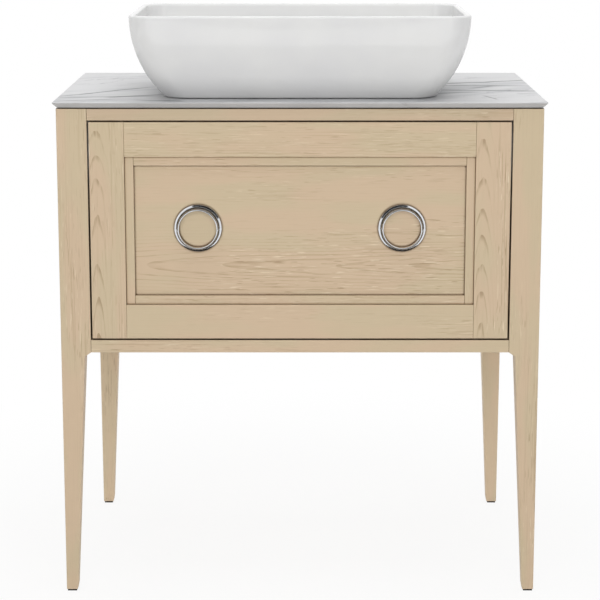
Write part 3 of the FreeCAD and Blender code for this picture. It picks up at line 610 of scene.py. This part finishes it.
@dataclass(frozen=True)
class Plate:
    """Plated metal: fine marks drawn out along one direction over a smooth coat, with painted shade in tight
    hollows.
    """

    name: str
    coat: Colour
    rough: Span
    marks: Triple
    depth: float
    haze_size: Triple = even(40.0)
    haze_span: Span = (0.35, 0.65)
    haze_gain: float = 1.04
    # Colour of the painted shade in tight hollows.
    hollow: Colour = paint(24, 22, 21)
    hollow_shade_span: Span = (0.86, 0.97)
    tight: float = 2.5 * MILLIMETRE

    def mixed(self) -> Material:
        """Mix the plated metal.

        Returns:
            Its material.
        """
        mixed = Recipe(self.name)
        spot = mixed.place()
        marks = mixed.noise(spot, self.marks, detail=3.0)
        haze = mixed.noise(spot, self.haze_size)
        mixed.relief(marks, self.depth)
        worn = mixed.times(mixed.maths("ADD", marks, haze), 0.5)
        paler = tuple(min(1.0, part * self.haze_gain) for part in self.coat)
        colour = mixed.mix(mixed.ease(haze, self.haze_span), self.coat, paler)
        # Painted shade: tight hollows go near black by how enclosed they are.
        colour = mixed.mix(mixed.ease(mixed.openness(self.tight), self.hollow_shade_span), self.hollow, colour)
        return mixed.surface(colour, mixed.ease(worn, MIDDLE, self.rough), metal=1.0)


@dataclass(frozen=True)
class DarkCompound:
    """Black sealant, rubber or nylon: nearly black, with a fine uneven skin."""

    name: str
    tone: Colour
    dusty: Colour
    rough: Span
    grain: float
    depth: float
    dust_size: Triple = even(60.0)
    dust_span: Span = (0.45, 0.75)
    gloss: float = 0.3

    def mixed(self) -> Material:
        """Mix the compound.

        Returns:
            Its material.
        """
        mixed = Recipe(self.name)
        spot = mixed.place()
        skin = mixed.noise(spot, even(self.grain), detail=3.0)
        dust = mixed.noise(spot, self.dust_size)
        mixed.relief(skin, self.depth)
        colour = mixed.mix(mixed.ease(dust, self.dust_span), self.tone, self.dusty)
        return mixed.surface(colour, mixed.ease(skin, MIDDLE, self.rough), self.gloss)


CHROME = Plate(
    "polished_chrome", coat=(0.78, 0.79, 0.81, 1.0), rough=(0.035, 0.075), marks=even(70.0), depth=0.00001,
)
ZINC = Plate(
    "zinc_plate", coat=(0.60, 0.61, 0.63, 1.0), rough=(0.26, 0.42), marks=(900.0, 14.0, 900.0), depth=0.00003,
)
SEALANT = DarkCompound(
    "black_sealant", paint(20, 19, 19), paint(30, 29, 28), rough=(0.5, 0.7), grain=220.0, depth=0.00015,
)
RUBBER = DarkCompound(
    "black_rubber", paint(34, 34, 35), paint(44, 44, 44), rough=(0.6, 0.8), grain=700.0, depth=0.00006,
)
NYLON = DarkCompound(
    "black_nylon", paint(28, 28, 29), paint(38, 38, 38), rough=(0.38, 0.52), grain=500.0, depth=0.00004,
)


def stand(shape: Shape, name: str, material: Material) -> bpy.types.Object:
    """Turn a shape into an object of the scene.

    Args:
        shape: The shape in its place; it is freed here.
        name: Name of the object.
        material: Its finish.

    Returns:
        The object.
    """
    mesh = bpy.data.meshes.new(name)
    shape.to_mesh(mesh)
    shape.free()
    mesh.materials.append(material)
    made = bpy.data.objects.new(name, mesh)
    bpy.context.scene.collection.objects.link(made)
    return made


def present(shape: Shape, name: str, body: str, material: Material, node: str) -> bpy.types.Object:
    """Make a finished shape the piece that stands for a node and rides on its body.

    Args:
        shape: The shape in its place.
        name: Name of the piece.
        body: Body that it moves with.
        material: Its finish.
        node: Node that it replaces.

    Returns:
        The piece.
    """
    bmesh.ops.recalc_face_normals(shape, faces=shape.faces[:])
    for face in shape.faces:
        face.smooth = True
    for edge in shape.edges:
        edge.smooth = edge.calc_face_angle(0.0) < math.radians(SHARP_FROM)
    piece = stand(shape, name, material)
    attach(piece, body)
    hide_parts(node)
    LOG.info("%s built with %d faces", name, len(piece.data.polygons))
    return piece


def points_of(made: dict) -> list[Point]:
    """Corner points among what an operator made."""
    return [item for item in made["geom"] if isinstance(item, Point)]


def edges_between(points: list[Point]) -> list[Edge]:
    """Find the edges whose two ends are both among some points.

    Args:
        points: The points.

    Returns:
        Those edges, each once, in the order of the points.
    """
    known = set(points)
    edges = [edge for point in points for edge in point.link_edges if edge.other_vert(point) in known]
    return list(dict.fromkeys(edges))


def next_ring(shape: Shape, points: list[Point], grow: float, height: float, middle: Vector) -> list[Point]:
    """Draw a ring of points on to a wider or narrower one at another height.

    Args:
        shape: The shape that is drawn on.
        points: The ring, which is level.
        grow: How many times as wide the next one is.
        height: Height of the next one.
        middle: Centre of both in plan.

    Returns:
        The points of the next ring.
    """
    ring = points_of(bmesh.ops.extrude_edge_only(shape, edges=edges_between(points)))
    bmesh.ops.scale(shape, vec=(grow, grow, 1.0), space=Matrix.Translation(-middle), verts=ring)
    bmesh.ops.translate(shape, vec=(0.0, 0.0, height - ring[0].co.z), verts=ring)
    return ring


class Turning:
    """A profile in the plane of radius X and height Z that is drawn point by point and turned round Z."""

    def __init__(self, radius: float, height: float) -> None:
        """Start the profile at one point.

        Args:
            radius: Distance from the axis.
            height: Height along it.
        """
        self.shape = bmesh.new()
        self.end = self.shape.verts.new((radius, 0.0, height))

    def line(self, radius: float, height: float) -> Point:
        """Draw a straight run to a point.

        Args:
            radius: Distance of its end from the axis.
            height: Height of its end.

        Returns:
            The end of the run.
        """
        made = bmesh.ops.extrude_vert_indiv(self.shape, verts=[self.end])
        self.end = made["verts"][0]
        move = Vector((radius, 0.0, height)) - self.end.co
        bmesh.ops.translate(self.shape, vec=move, verts=[self.end])
        return self.end

    def sweep(self, centre: tuple[float, float], degrees: float, steps: int) -> None:
        """Draw an arc from the end.

        Args:
            centre: Radius and height of the arc's centre.
            degrees: Turn of the arc, from the axis towards the radius when positive.
            steps: Number of runs in it.
        """
        pivot = Vector((centre[0], 0.0, centre[1]))
        made = bmesh.ops.spin(
            self.shape, geom=[self.end], cent=pivot, axis=(0.0, 1.0, 0.0), angle=math.radians(degrees),
            steps=steps, use_duplicate=False, use_merge=False,
        )
        self.end = next(item for item in made["geom_last"] if isinstance(item, Point))

    def soften(self, corner: Point, size: float, steps: int = 3) -> None:
        """Round a corner of the profile.

        Args:
            corner: The corner.
            size: How far the rounding starts from it.
            steps: Number of runs in the rounding.
        """
        bmesh.ops.bevel(
            self.shape, geom=[corner], offset=size, offset_type="OFFSET", segments=steps, profile=0.5,
            affect="VERTICES", material=-1,
        )

    def close(self, steps: int, closed: bool) -> Shape:
        """Turn the profile once round the axis.

        Args:
            steps: Number of faces round it.
            closed: Whether the profile ends where it began.

        Returns:
            The turned shape.
        """
        if closed:
            loose = [point for point in self.shape.verts if len(point.link_edges) == 1]
            bmesh.ops.contextual_create(self.shape, geom=loose)
        bmesh.ops.spin(
            self.shape, geom=self.shape.verts[:] + self.shape.edges[:], cent=(0.0, 0.0, 0.0),
            axis=(0.0, 0.0, 1.0), angle=2 * math.pi, steps=steps, use_duplicate=False, use_merge=True,
        )
        bmesh.ops.remove_doubles(self.shape, verts=self.shape.verts[:], dist=1e-6)
        return self.shape


class RingWall:
    """A wall that is drawn down or up through level rounded rectangles about one centre."""

    def __init__(
        self, shape: Shape, ring: list[Edge], middle: Vector, half: Vector, corner: float,
    ) -> None:
        """Take up the wall at a ring of edges that is there already.

        Args:
            shape: The shape that is drawn on.
            ring: Edges of the first rounded rectangle.
            middle: Centre of that rectangle.
            half: Half its width and depth.
            corner: Radius of its corners.
        """
        self.shape = shape
        self.ring = ring
        self.middle = middle.copy()
        self.half = half
        self.inset = 0.0
        self.corner = corner

    def step(self, inset: float, height: float, corner: float) -> None:
        """Add one strip of wall up to the next rounded rectangle.

        Args:
            inset: How far that rectangle is drawn in.
            height: Its height.
            corner: Radius of its corners.
        """
        points = points_of(bmesh.ops.extrude_edge_only(self.shape, edges=self.ring))
        old_reach = self.half - Vector((1.0, 1.0, 0.0)) * (self.inset + self.corner)
        new_reach = self.half - Vector((1.0, 1.0, 0.0)) * (inset + corner)
        grow = corner / self.corner
        for way_x, way_y in itertools.product(SIDES.values(), repeat=2):
            way = Vector((way_x, way_y, 0.0))
            quarter = []
            for point in points:
                out = (point.co - self.middle) * way
                if out.x > 0 and out.y > 0:
                    quarter.append(point)
            pivot = Matrix.Translation(-self.middle - way * old_reach)
            bmesh.ops.scale(self.shape, vec=(grow, grow, 1.0), space=pivot, verts=quarter)
            move = way * (new_reach - old_reach)
            move.z = height - self.middle.z
            bmesh.ops.translate(self.shape, vec=move, verts=quarter)
        self.ring = edges_between(points)
        self.middle.z = height
        self.inset = inset
        self.corner = corner


@dataclass
class Carcass:
    """Posts, legs, side panels, rails, back boards and foot glides."""

    next_board: float = 1.7
    # Paler oak on the rear legs: painted light against the shade under the cabinet.
    rear_leg_painted_light_warm: Colour = paint(221, 199, 171)
    rear_leg_painted_light_cool: Colour = paint(217, 199, 170)
    # Darker oak on the top rail: painted shade under the slab.
    top_rail_painted_shade_warm: Colour = paint(203, 181, 154)
    top_rail_painted_shade_cool: Colour = paint(199, 181, 153)

    def dress(self) -> None:
        """Put oak on what shows, plywood on what is inside and nylon under the feet."""
        for index, (end, way) in enumerate(SIDES.items()):
            away = self.next_board * index
            Oak(Grain.UPRIGHT, along=0.3 + away, across=0.010, behind=way * 0.16).dress("front_post_" + end)
            # The rear legs wear the paler oak as painted light.
            Oak(
                Grain.UPRIGHT, along=4.1 + away, across=0.014, behind=way * 0.19,
                warm=self.rear_leg_painted_light_warm, cool=self.rear_leg_painted_light_cool,
            ).dress("rear_leg_" + end)
            Oak(Grain.UPRIGHT, along=7.6 + away, across=0.04, behind=way * 0.09).dress("side_panel_" + end)
            BirchPly().dress("runner_packer_" + end)
        # The top rail wears the darker oak as painted shade.
        Oak(
            Grain.LEVEL, along=10.2, across=0.02, behind=0.13, lean=0.02,
            warm=self.top_rail_painted_shade_warm, cool=self.top_rail_painted_shade_cool,
        ).dress("top_front_rail")
        Oak(Grain.LEVEL, along=13.4, across=0.02, behind=-0.12, lean=0.02).dress("bottom_front_rail")
        for node in ("bottom_panel", "low_back_rail", "wall_rail", "rail_dowels"):
            BirchPly().dress(node)
        wear("foot_glides", NYLON.mixed())


@dataclass
class MarbleTop:
    """The slab and the dark bedding strips that show as a shadow line below it."""

    slab: str = "marble_top"
    bedding: str = "top_bedding"

    def dress(self) -> None:
        """Put marble on the slab and sealant on the strips."""
        Marble().dress(self.slab)
        wear(self.bedding, SEALANT.mixed())


@dataclass
class Basin:
    """Vessel basin: thin rounded rim, one arc down the outside, and a bowl that falls to the drain."""

    corner: float = 40 * MILLIMETRE
    rim: float = 9 * MILLIMETRE
    rim_round: float = 3.2 * MILLIMETRE
    base_inset: float = 51 * MILLIMETRE
    foot_round: float = 2.4 * MILLIMETRE
    floor: float = 16 * MILLIMETRE
    floor_inset: float = 74 * MILLIMETRE
    bowl_corner: float = 34 * MILLIMETRE
    dish_radius: float = 70 * MILLIMETRE
    dish_depth: float = 3 * MILLIMETRE
    seat_radius: float = 32 * MILLIMETRE
    hole_radius: float = 23 * MILLIMETRE
    corner_steps: int = 20
    round_steps: int = 6
    wall_steps: int = 22
    foot_steps: int = 4

    def build(self) -> None:
        """Model the basin, glaze it and set it in the place of the plain one."""
        low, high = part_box("basin")
        middle = (low + high) / 2
        half = Vector(((high.x - low.x) / 2, (high.y - low.y) / 2, 0.0))
        middle.z = high.z - self.rim_round
        shape = bmesh.new()
        spread = Matrix.Translation(middle) @ Matrix.Diagonal((half.x, half.y, 1.0, 1.0))
        bmesh.ops.create_grid(shape, x_segments=1, y_segments=1, size=1.0, matrix=spread)
        bmesh.ops.bevel(
            shape, geom=shape.verts[:], offset=self.corner, offset_type="OFFSET", segments=self.corner_steps,
            profile=0.5, affect="VERTICES", material=-1,
        )
        ring = shape.edges[:]
        bmesh.ops.delete(shape, geom=shape.faces[:], context="FACES_ONLY")
        inner = self.bowl(RingWall(shape, ring, middle, half, self.corner), high.z, low.z)
        outer = self.outside(RingWall(shape, ring, middle, half, self.corner), high.z, low.z)
        self.drain(shape, inner, outer, low.z)
        present(shape, "basin_glazed", "cabinet", Glaze().mixed(), "basin")
        wear("basin_bedding", SEALANT.mixed())

    def bowl(self, wall: RingWall, top: float, base: float) -> RingWall:
        """Round the rim over and draw the bowl down to its floor.

        Args:
            wall: The wall at the outer start of the rim.
            top: Height of the rim.
            base: Height of the foot.

        Returns:
            The wall, ended at the edge of the floor.
        """
        corner_fall = self.corner - self.bowl_corner
        outer_arc = (self.rim_round, range(1 - self.round_steps, 1))
        inner_arc = (self.rim - self.rim_round, range(self.round_steps + 1))
        for centre, steps in (outer_arc, inner_arc):
            for step in steps:
                turn = math.pi / 2 * step / self.round_steps
                inset = centre + self.rim_round * math.sin(turn)
                height = top - self.rim_round * (1 - math.cos(turn))
                wall.step(inset, height, self.corner - corner_fall * inset / self.rim)
        depth = top - base - self.floor
        run = self.floor_inset - self.rim
        start = math.asin(self.rim_round / depth)
        for step in range(1, self.wall_steps + 1):
            turn = start + (math.pi / 2 - start) * step / self.wall_steps
            wall.step(self.rim + run * (1 - math.cos(turn)), top - depth * math.sin(turn), self.bowl_corner)
        return wall

    def outside(self, wall: RingWall, top: float, base: float) -> RingWall:
        """Draw the outside down along one arc.

        Args:
            wall: The wall at the outer start of the rim.
            top: Height of the rim.
            base: Height of the foot.

        Returns:
            The wall, ended at the edge of the underside.
        """
        height = top - base
        arc = (height ** 2 + self.base_inset ** 2) / (2 * self.base_inset)
        for step in range(1, self.wall_steps + 1):
            drop = self.rim_round + (height - self.rim_round) * step / self.wall_steps
            wall.step(arc - math.sqrt(arc ** 2 - drop ** 2), top - drop, self.corner)
        return wall

    def drain(self, shape: Shape, inner: RingWall, outer: RingWall, base: float) -> None:
        """Sink the dish and the drain hole into the floor, close the underside and round the foot.

        Args:
            shape: The shape that is drawn on.
            inner: Wall that ends at the edge of the floor.
            outer: Wall that ends at the edge of the underside.
            base: Height of the foot.
        """
        floor = base + self.floor
        middle = Vector((inner.middle.x, inner.middle.y, floor))
        half_step = Matrix.Rotation(math.pi / len(inner.ring), 4, "Z")
        circle = bmesh.ops.create_circle(
            shape, cap_ends=False, segments=len(inner.ring), radius=self.dish_radius,
            matrix=Matrix.Translation(middle) @ half_step,
        )["verts"]
        bmesh.ops.bridge_loops(shape, edges=inner.ring + edges_between(circle))
        points = circle
        radius = self.dish_radius
        for next_radius, height in (
            (self.seat_radius, floor - self.dish_depth),
            (self.hole_radius, floor - self.dish_depth),
            (self.hole_radius, base),
        ):
            points = next_ring(shape, points, next_radius / radius, height, middle)
            radius = next_radius
        bmesh.ops.bridge_loops(shape, edges=outer.ring + edges_between(points))
        bmesh.ops.bevel(
            shape, geom=outer.ring, offset=self.foot_round, offset_type="OFFSET", segments=self.foot_steps,
            profile=0.5, affect="EDGES", material=-1,
        )


@dataclass
class BasinWaste:
    """Waste body with its seals and nut, and the push plug with its low dome."""

    plug_radius: float = 29.5 * MILLIMETRE
    plug_edge: float = 3 * MILLIMETRE
    plug_dome: float = 2 * MILLIMETRE
    collar_radius: float = 10 * MILLIMETRE
    collar_depth: float = 3 * MILLIMETRE
    stem_radius: float = 4 * MILLIMETRE
    stem_length: float = 34 * MILLIMETRE
    edge_round: float = 0.8 * MILLIMETRE
    dome_steps: int = 8
    steps: int = 72

    def build(self) -> None:
        """Turn the plug and finish the pieces round it."""
        low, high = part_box("waste_plug")
        dome = (self.plug_radius ** 2 + self.plug_dome ** 2) / (2 * self.plug_dome)
        crown = self.plug_edge + self.plug_dome
        profile = Turning(0.0, crown)
        arc = math.degrees(math.asin(self.plug_radius / dome))
        profile.sweep((0.0, crown - dome), arc, self.dome_steps)
        shoulder = profile.end
        profile.line(self.plug_radius, 0.0)
        profile.line(self.collar_radius, 0.0)
        profile.line(self.collar_radius, -self.collar_depth)
        profile.line(self.stem_radius, -self.collar_depth)
        profile.line(self.stem_radius, -self.stem_length)
        profile.line(0.0, -self.stem_length)
        profile.soften(shoulder, self.edge_round)
        shape = profile.close(self.steps, closed=False)
        middle = (low + high) / 2
        middle.z = high.z - crown
        bmesh.ops.translate(shape, vec=middle, verts=shape.verts[:])
        chrome = CHROME.mixed()
        present(shape, "push_plug", "plug", chrome, "waste_plug")
        wear("waste_body", chrome)
        rubber = RUBBER.mixed()
        for node in ("waste_seal_upper", "waste_seal_lower", "plug_seal"):
            wear(node, rubber)
        wear("waste_nut", NYLON.mixed())


@dataclass
class DrawerFront:
    """Frame, panel and beads of the drawer front, each of its own board.

    The painted shade in the joints between frame and beads is pale; that round the panel is dark.
    """

    next_upright: float = 2.1
    next_level: float = 2.4
    # Paler painted shade for the joints between frame and beads.
    pale_joint_shade: Colour = paint(142, 116, 88)
    stile_rings: Colour = paint(152, 126, 94)

    def dress(self) -> None:
        """Put oak on every piece, with the fibres along its length."""
        for index, (end, way) in enumerate(SIDES.items()):
            away = self.next_upright * index
            Oak(
                Grain.UPRIGHT, along=16.3 + away, across=0.034, behind=-0.016, lean=0.06, figure_half=0.017,
                contrast=1.3, late_wood=self.stile_rings, joint=self.pale_joint_shade,
            ).dress("drawer_stile_" + end)
            Oak(
                Grain.UPRIGHT, along=19.8 + away, across=0.03, behind=way * 0.11, joint=self.pale_joint_shade,
            ).dress("bead_" + end)
        for index, place in enumerate(("top", "bottom")):
            away = self.next_level * index
            Oak(
                Grain.LEVEL, along=23.5 + away, across=0.03, behind=0.05 - 0.13 * index, lean=0.03,
                figure_half=0.06, contrast=0.6, joint=self.pale_joint_shade,
            ).dress("drawer_rail_" + place)
            Oak(
                Grain.LEVEL, along=27.7 + away, across=0.03, behind=0.12, contrast=0.8, joint=self.pale_joint_shade,
            ).dress("bead_" + place)
        Oak(
            Grain.LEVEL, along=31.6, across=0.024, behind=0.055, lean=-0.035, ring_width=0.0044,
            figure_half=0.06,
        ).dress("drawer_panel")


@dataclass
class RingPulls:
    """Two chrome rings: a flange with a collar that rises in a hollow curve to a rounded lip."""

    base_radius: float = 37 * MILLIMETRE
    flange: float = 4.5 * MILLIMETRE
    flange_ease: float = 0.8 * MILLIMETRE
    flange_fall: float = 0.3 * MILLIMETRE
    collar_radius: float = 32 * MILLIMETRE
    collar_fillet: float = 2.6 * MILLIMETRE
    lip_round: float = 2 * MILLIMETRE
    bore_radius: float = 29 * MILLIMETRE
    undercut_radius: float = 30.2 * MILLIMETRE
    depth: float = 17 * MILLIMETRE
    lip_depth: float = 3 * MILLIMETRE
    bore_round: float = 0.5 * MILLIMETRE
    edge_steps: int = 8
    curve_steps: int = 16
    steps: int = 160

    def build(self) -> None:
        """Turn both rings, finish them and their screws."""
        chrome = CHROME.mixed()
        for end in SIDES:
            node = "ring_handle_" + end
            low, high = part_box(node)
            shape = self.turned()
            upright = Matrix.Rotation(math.pi / 2, 3, "X")
            bmesh.ops.rotate(shape, cent=(0.0, 0.0, 0.0), matrix=upright, verts=shape.verts[:])
            middle = (low + high) / 2
            middle.y = high.y
            bmesh.ops.translate(shape, vec=middle, verts=shape.verts[:])
            ring = present(shape, "ring_pull_" + end, "drawer", chrome, node)
            # The wood inside and round the ring is lit as if the ring let light through.
            ring.visible_diffuse = False
        wear("handle_screws", ZINC.mixed())

    def turned(self) -> Shape:
        """One ring that stands on the level plane at the origin.

        Returns:
            The ring.
        """
        edge = (self.base_radius - self.flange_ease, self.flange - self.flange_fall - self.flange_ease)
        hollow = (self.collar_radius + self.collar_fillet, self.flange + self.collar_fillet)
        crown = (self.collar_radius - self.lip_round, self.depth - self.lip_round)
        profile = Turning(self.base_radius, 0.0)
        profile.line(self.base_radius, edge[1])
        profile.sweep(edge, -90.0, self.edge_steps)
        profile.line(hollow[0], self.flange)
        profile.sweep(hollow, 90.0, self.curve_steps)
        profile.line(self.collar_radius, crown[1])
        profile.sweep(crown, -90.0, self.curve_steps)
        lip = profile.line(self.bore_radius, self.depth)
        profile.line(self.bore_radius, self.depth - self.lip_depth)
        profile.line(self.undercut_radius, 0.0)
        profile.soften(lip, self.bore_round)
        return profile.close(self.steps, closed=True)


@dataclass
class DrawerBox:
    """Boards of the drawer box and the screws that hold the front to it."""

    head_radius: float = 4 * MILLIMETRE
    head_height: float = 1.2 * MILLIMETRE
    recess_half: float = 2.2 * MILLIMETRE
    recess_depth: float = 0.8 * MILLIMETRE
    recess_cells: int = 5
    arm_share: float = 0.3
    reach_share: float = 0.7
    edge_drop: float = 0.4 * MILLIMETRE
    shank_radius: float = 2 * MILLIMETRE
    shank_length: float = 27 * MILLIMETRE

    def dress(self) -> None:
        """Put plywood on every board."""
        ply = BirchPly()
        for node in ("drawer_bottom", "box_front", "well_front"):
            ply.dress(node)
        for end in SIDES:
            for name in ("box_side_", "box_back_", "well_side_"):
                ply.dress(name + end)

    def build(self) -> None:
        """Set the four screws in their places, heads towards the inside of the box."""
        low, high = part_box("front_screws")
        shape = self.screw()
        level = Matrix.Rotation(-math.pi / 2, 3, "X")
        bmesh.ops.rotate(shape, cent=(0.0, 0.0, 0.0), matrix=level, verts=shape.verts[:])
        first = shape.verts[:] + shape.edges[:] + shape.faces[:]
        start = Vector((low.x + self.head_radius, high.y - self.head_height, low.z + self.head_radius))
        across = Vector((high.x - low.x - 2 * self.head_radius, 0.0, 0.0))
        up = Vector((0.0, 0.0, high.z - low.z - 2 * self.head_radius))
        bmesh.ops.translate(shape, vec=start, verts=shape.verts[:])
        for move in (across, up, across + up):
            bmesh.ops.translate(shape, vec=move, verts=points_of(bmesh.ops.duplicate(shape, geom=first)))
        present(shape, "box_front_screws", "drawer", ZINC.mixed(), "front_screws")

    def screw(self) -> Shape:
        """One pan-head screw with a cross recess, head up, its seat at the origin.

        Returns:
            The screw.
        """
        shape = bmesh.new()
        cells = self.recess_cells
        bmesh.ops.create_grid(shape, x_segments=cells, y_segments=cells, size=self.recess_half)
        bmesh.ops.translate(shape, vec=(0.0, 0.0, self.head_height), verts=shape.verts[:])
        rim = [edge for edge in shape.edges if edge.is_boundary]
        arm = self.recess_half * self.arm_share
        reach = self.recess_half * self.reach_share
        cross = []
        for face in shape.faces:
            middle = face.calc_center_median()
            near, far = sorted((abs(middle.x), abs(middle.y)))
            if near < arm and far < reach:
                cross.append(face)
        sunk = points_of(bmesh.ops.extrude_face_region(shape, geom=cross))
        bmesh.ops.delete(shape, geom=cross, context="FACES_ONLY")
        bmesh.ops.translate(shape, vec=(0.0, 0.0, -self.recess_depth), verts=sunk)
        crown_radius = self.head_radius - self.edge_drop
        ring = bmesh.ops.create_circle(
            shape, cap_ends=False, segments=len(rim), radius=crown_radius,
            matrix=Matrix.Translation((0.0, 0.0, self.head_height)),
        )["verts"]
        bmesh.ops.bridge_loops(shape, edges=rim + edges_between(ring))
        radius = crown_radius
        for next_radius, height in (
            (self.head_radius, self.head_height - self.edge_drop),
            (self.head_radius, 0.0),
            (self.shank_radius, 0.0),
            (self.shank_radius, -self.shank_length),
        ):
            ring = next_ring(shape, ring, next_radius / radius, height, Vector())
            radius = next_radius
        bmesh.ops.contextual_create(shape, geom=edges_between(ring))
        return shape


@dataclass
class Runners:
    """Three members on each side and the screws that fix them."""

    members: tuple[str, str, str] = ("runner_fixed_", "runner_middle_", "runner_drawer_")

    def dress(self) -> None:
        """Put zinc plate on the members and their screws."""
        zinc = ZINC.mixed()
        for end in SIDES:
            for member in self.members:
                wear(member + end, zinc)
        for node in ("runner_screws", "box_screws"):
            wear(node, zinc)


@dataclass(frozen=True)
class Lamp:
    """One large soft lamp: its face, its light in watts, where it hangs and what it points at."""

    name: str
    width: float
    height: float
    power: float
    place: Triple
    target: Triple = (0.0, 0.0, 0.5)


@dataclass
class Studio:
    """Floor, white surroundings, soft lamps, black cards for the chrome to mirror, and the camera."""

    lens: float = 118.1
    sensor: float = 36.0
    lens_shift: float = -0.06
    lens_place: Triple = (0.0, -3.242, 1.120)
    lens_down: float = 10.99
    far_clip: float = 50.0
    lamps: tuple[Lamp, ...] = (
        Lamp("overhead", 2.6, 2.0, 37.0, (0.0, -0.2, 2.9)),
        Lamp("front", 3.2, 2.0, 81.0, (0.0, -4.2, 1.90)),
        Lamp("left", 2.0, 2.0, 16.0, (-4.0, 0.6, 1.2)),
        Lamp("right", 2.0, 2.0, 16.0, (4.0, 0.6, 1.2)),
        Lamp("back", 3.2, 2.0, 48.0, (0.0, 4.2, 1.2)),
    )
    room_light: float = 0.3
    sheet_rough: float = 0.9
    sheet_gloss: float = 0.1
    floor_half: float = 9.0
    floor_tone: Colour = (0.94, 0.94, 0.94, 1.0)
    near_glow: float = 0.88
    fade_start: float = 0.40
    fade_end: float = 1.1
    card_tone: Colour = (0.015, 0.015, 0.015, 1.0)
    dome_centre: Triple = (0.0, -0.24, 0.586)
    dome_radius: float = 2.9
    dome_hole: float = 35.0
    dome_end: float = 96.0
    disc_place: Triple = (0.0, -1.6, 0.85)
    disc_radius: float = 0.35
    dome_columns: int = 64
    dome_rows: int = 48
    disc_steps: int = 48
    mat_near: float = -0.26
    mat_half: float = 2.2
    mat_height: float = 0.004

    def build(self) -> None:
        """Set up everything that is not part of the object."""
        self.camera()
        self.world()
        self.floor()
        self.cards()
        for lamp in self.lamps:
            self.hang(lamp)

    def camera(self) -> None:
        """Long lens in front of the drawer, a little above the basin and looking slightly down."""
        lens = bpy.data.cameras.new("camera")
        lens.lens = self.lens
        lens.sensor_width = self.sensor
        lens.shift_y = self.lens_shift
        lens.clip_end = self.far_clip
        holder = bpy.data.objects.new("camera", lens)
        holder.location = self.lens_place
        holder.rotation_euler = (math.radians(90.0 - self.lens_down), 0.0, 0.0)
        bpy.context.scene.collection.objects.link(holder)
        bpy.context.scene.camera = holder

    def world(self) -> None:
        """Surroundings that look white to the camera and in mirrors, and give less light than that."""
        world = bpy.data.worlds.new("studio")
        world.use_nodes = True
        sky = Nodes(world.node_tree)
        strength = sky.add("MapRange", {"Value": sky.direct(), "To Min": self.room_light, "To Max": 1.0})
        light = sky.add("Background", {"Color": WHITE, "Strength": strength.outputs["Result"]})
        sky.add("OutputWorld", {"Surface": light.outputs["Background"]})
        bpy.context.scene.world = world
        bpy.context.scene.view_settings.view_transform = "Standard"

    def sheet(self, name: str, shape: Shape, mixed: Recipe) -> bpy.types.Object:
        """Add a sheet to the scene.

        Args:
            name: Name of the sheet.
            shape: Its faces.
            mixed: Its finish.

        Returns:
            The sheet.
        """
        sheet = stand(shape, name, mixed.material)
        return sheet

    def floor(self) -> None:
        """Pale floor that takes the shadow near the object and fades to white further out."""
        mixed = Recipe("pale_floor")
        mixed.surface(self.floor_tone, self.sheet_rough, self.sheet_gloss)
        across, deep, _ = mixed.parts(mixed.place())
        away = mixed.length(across, deep)
        white = mixed.ease(away, (self.fade_start, self.fade_end), (self.near_glow, 1.0))
        glow = mixed.add("Emission", {"Color": WHITE})
        blend = mixed.add("MixShader", {
            0: mixed.times(mixed.direct(), white),
            1: mixed.shader.outputs["BSDF"],
            2: glow.outputs["Emission"],
        })
        mixed.give(mixed.output.inputs["Surface"], blend.outputs["Shader"])
        shape = bmesh.new()
        bmesh.ops.create_grid(shape, x_segments=1, y_segments=1, size=self.floor_half)
        self.sheet("floor", shape, mixed)

    def cards(self) -> None:
        """Black dome that is open in front, a disc in its opening and a mat below, for mirrors only."""
        mixed = Recipe("black_card")
        mixed.surface(self.card_tone, self.sheet_rough, self.sheet_gloss)
        shape = bmesh.new()
        centre = Vector(self.dome_centre)
        dome = bmesh.ops.create_uvsphere(
            shape, u_segments=self.dome_columns, v_segments=self.dome_rows, radius=self.dome_radius,
            matrix=Matrix.Translation(centre),
        )["verts"]
        front = Vector((0.0, -1.0, 0.0))
        open_part = []
        for point in dome:
            turn = math.degrees((point.co - centre).angle(front))
            if not self.dome_hole < turn < self.dome_end:
                open_part.append(point)
        bmesh.ops.delete(shape, geom=open_part, context="VERTS")
        upright = Matrix.Rotation(math.pi / 2, 4, "X")
        bmesh.ops.create_circle(
            shape, cap_ends=True, segments=self.disc_steps, radius=self.disc_radius,
            matrix=Matrix.Translation(self.disc_place) @ upright,
        )
        far = self.disc_place[1]
        middle = Matrix.Translation((0.0, (self.mat_near + far) / 2, self.mat_height))
        spread = middle @ Matrix.Diagonal((self.mat_half, (self.mat_near - far) / 2, 1.0, 1.0))
        bmesh.ops.create_grid(shape, x_segments=1, y_segments=1, size=1.0, matrix=spread)
        card = self.sheet("black_cards", shape, mixed)
        card.visible_camera = False
        card.visible_diffuse = False
        card.visible_shadow = False

    def hang(self, lamp: Lamp) -> None:
        """Hang a lamp that neither the camera nor mirrors see.

        Args:
            lamp: The lamp.
        """
        light = bpy.data.lights.new(lamp.name, "AREA")
        light.shape = "RECTANGLE"
        light.size = lamp.width
        light.size_y = lamp.height
        light.energy = lamp.power
        holder = bpy.data.objects.new(lamp.name, light)
        holder.location = lamp.place
        way = Vector(lamp.target) - Vector(lamp.place)
        holder.rotation_euler = way.to_track_quat("-Z", "Y").to_euler()
        holder.visible_camera = False
        holder.visible_glossy = False
        bpy.context.scene.collection.objects.link(holder)


def main() -> None:
    """Build and dress the vanity, then the studio."""
    logging.basicConfig(level=logging.INFO, format="%(name)s: %(message)s")
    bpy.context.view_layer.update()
    Carcass().dress()
    MarbleTop().dress()
    Basin().build()
    BasinWaste().build()
    DrawerFront().dress()
    RingPulls().build()
    box = DrawerBox()
    box.dress()
    box.build()
    Runners().dress()
    Studio().build()


if __name__ == "__main__":
    main()
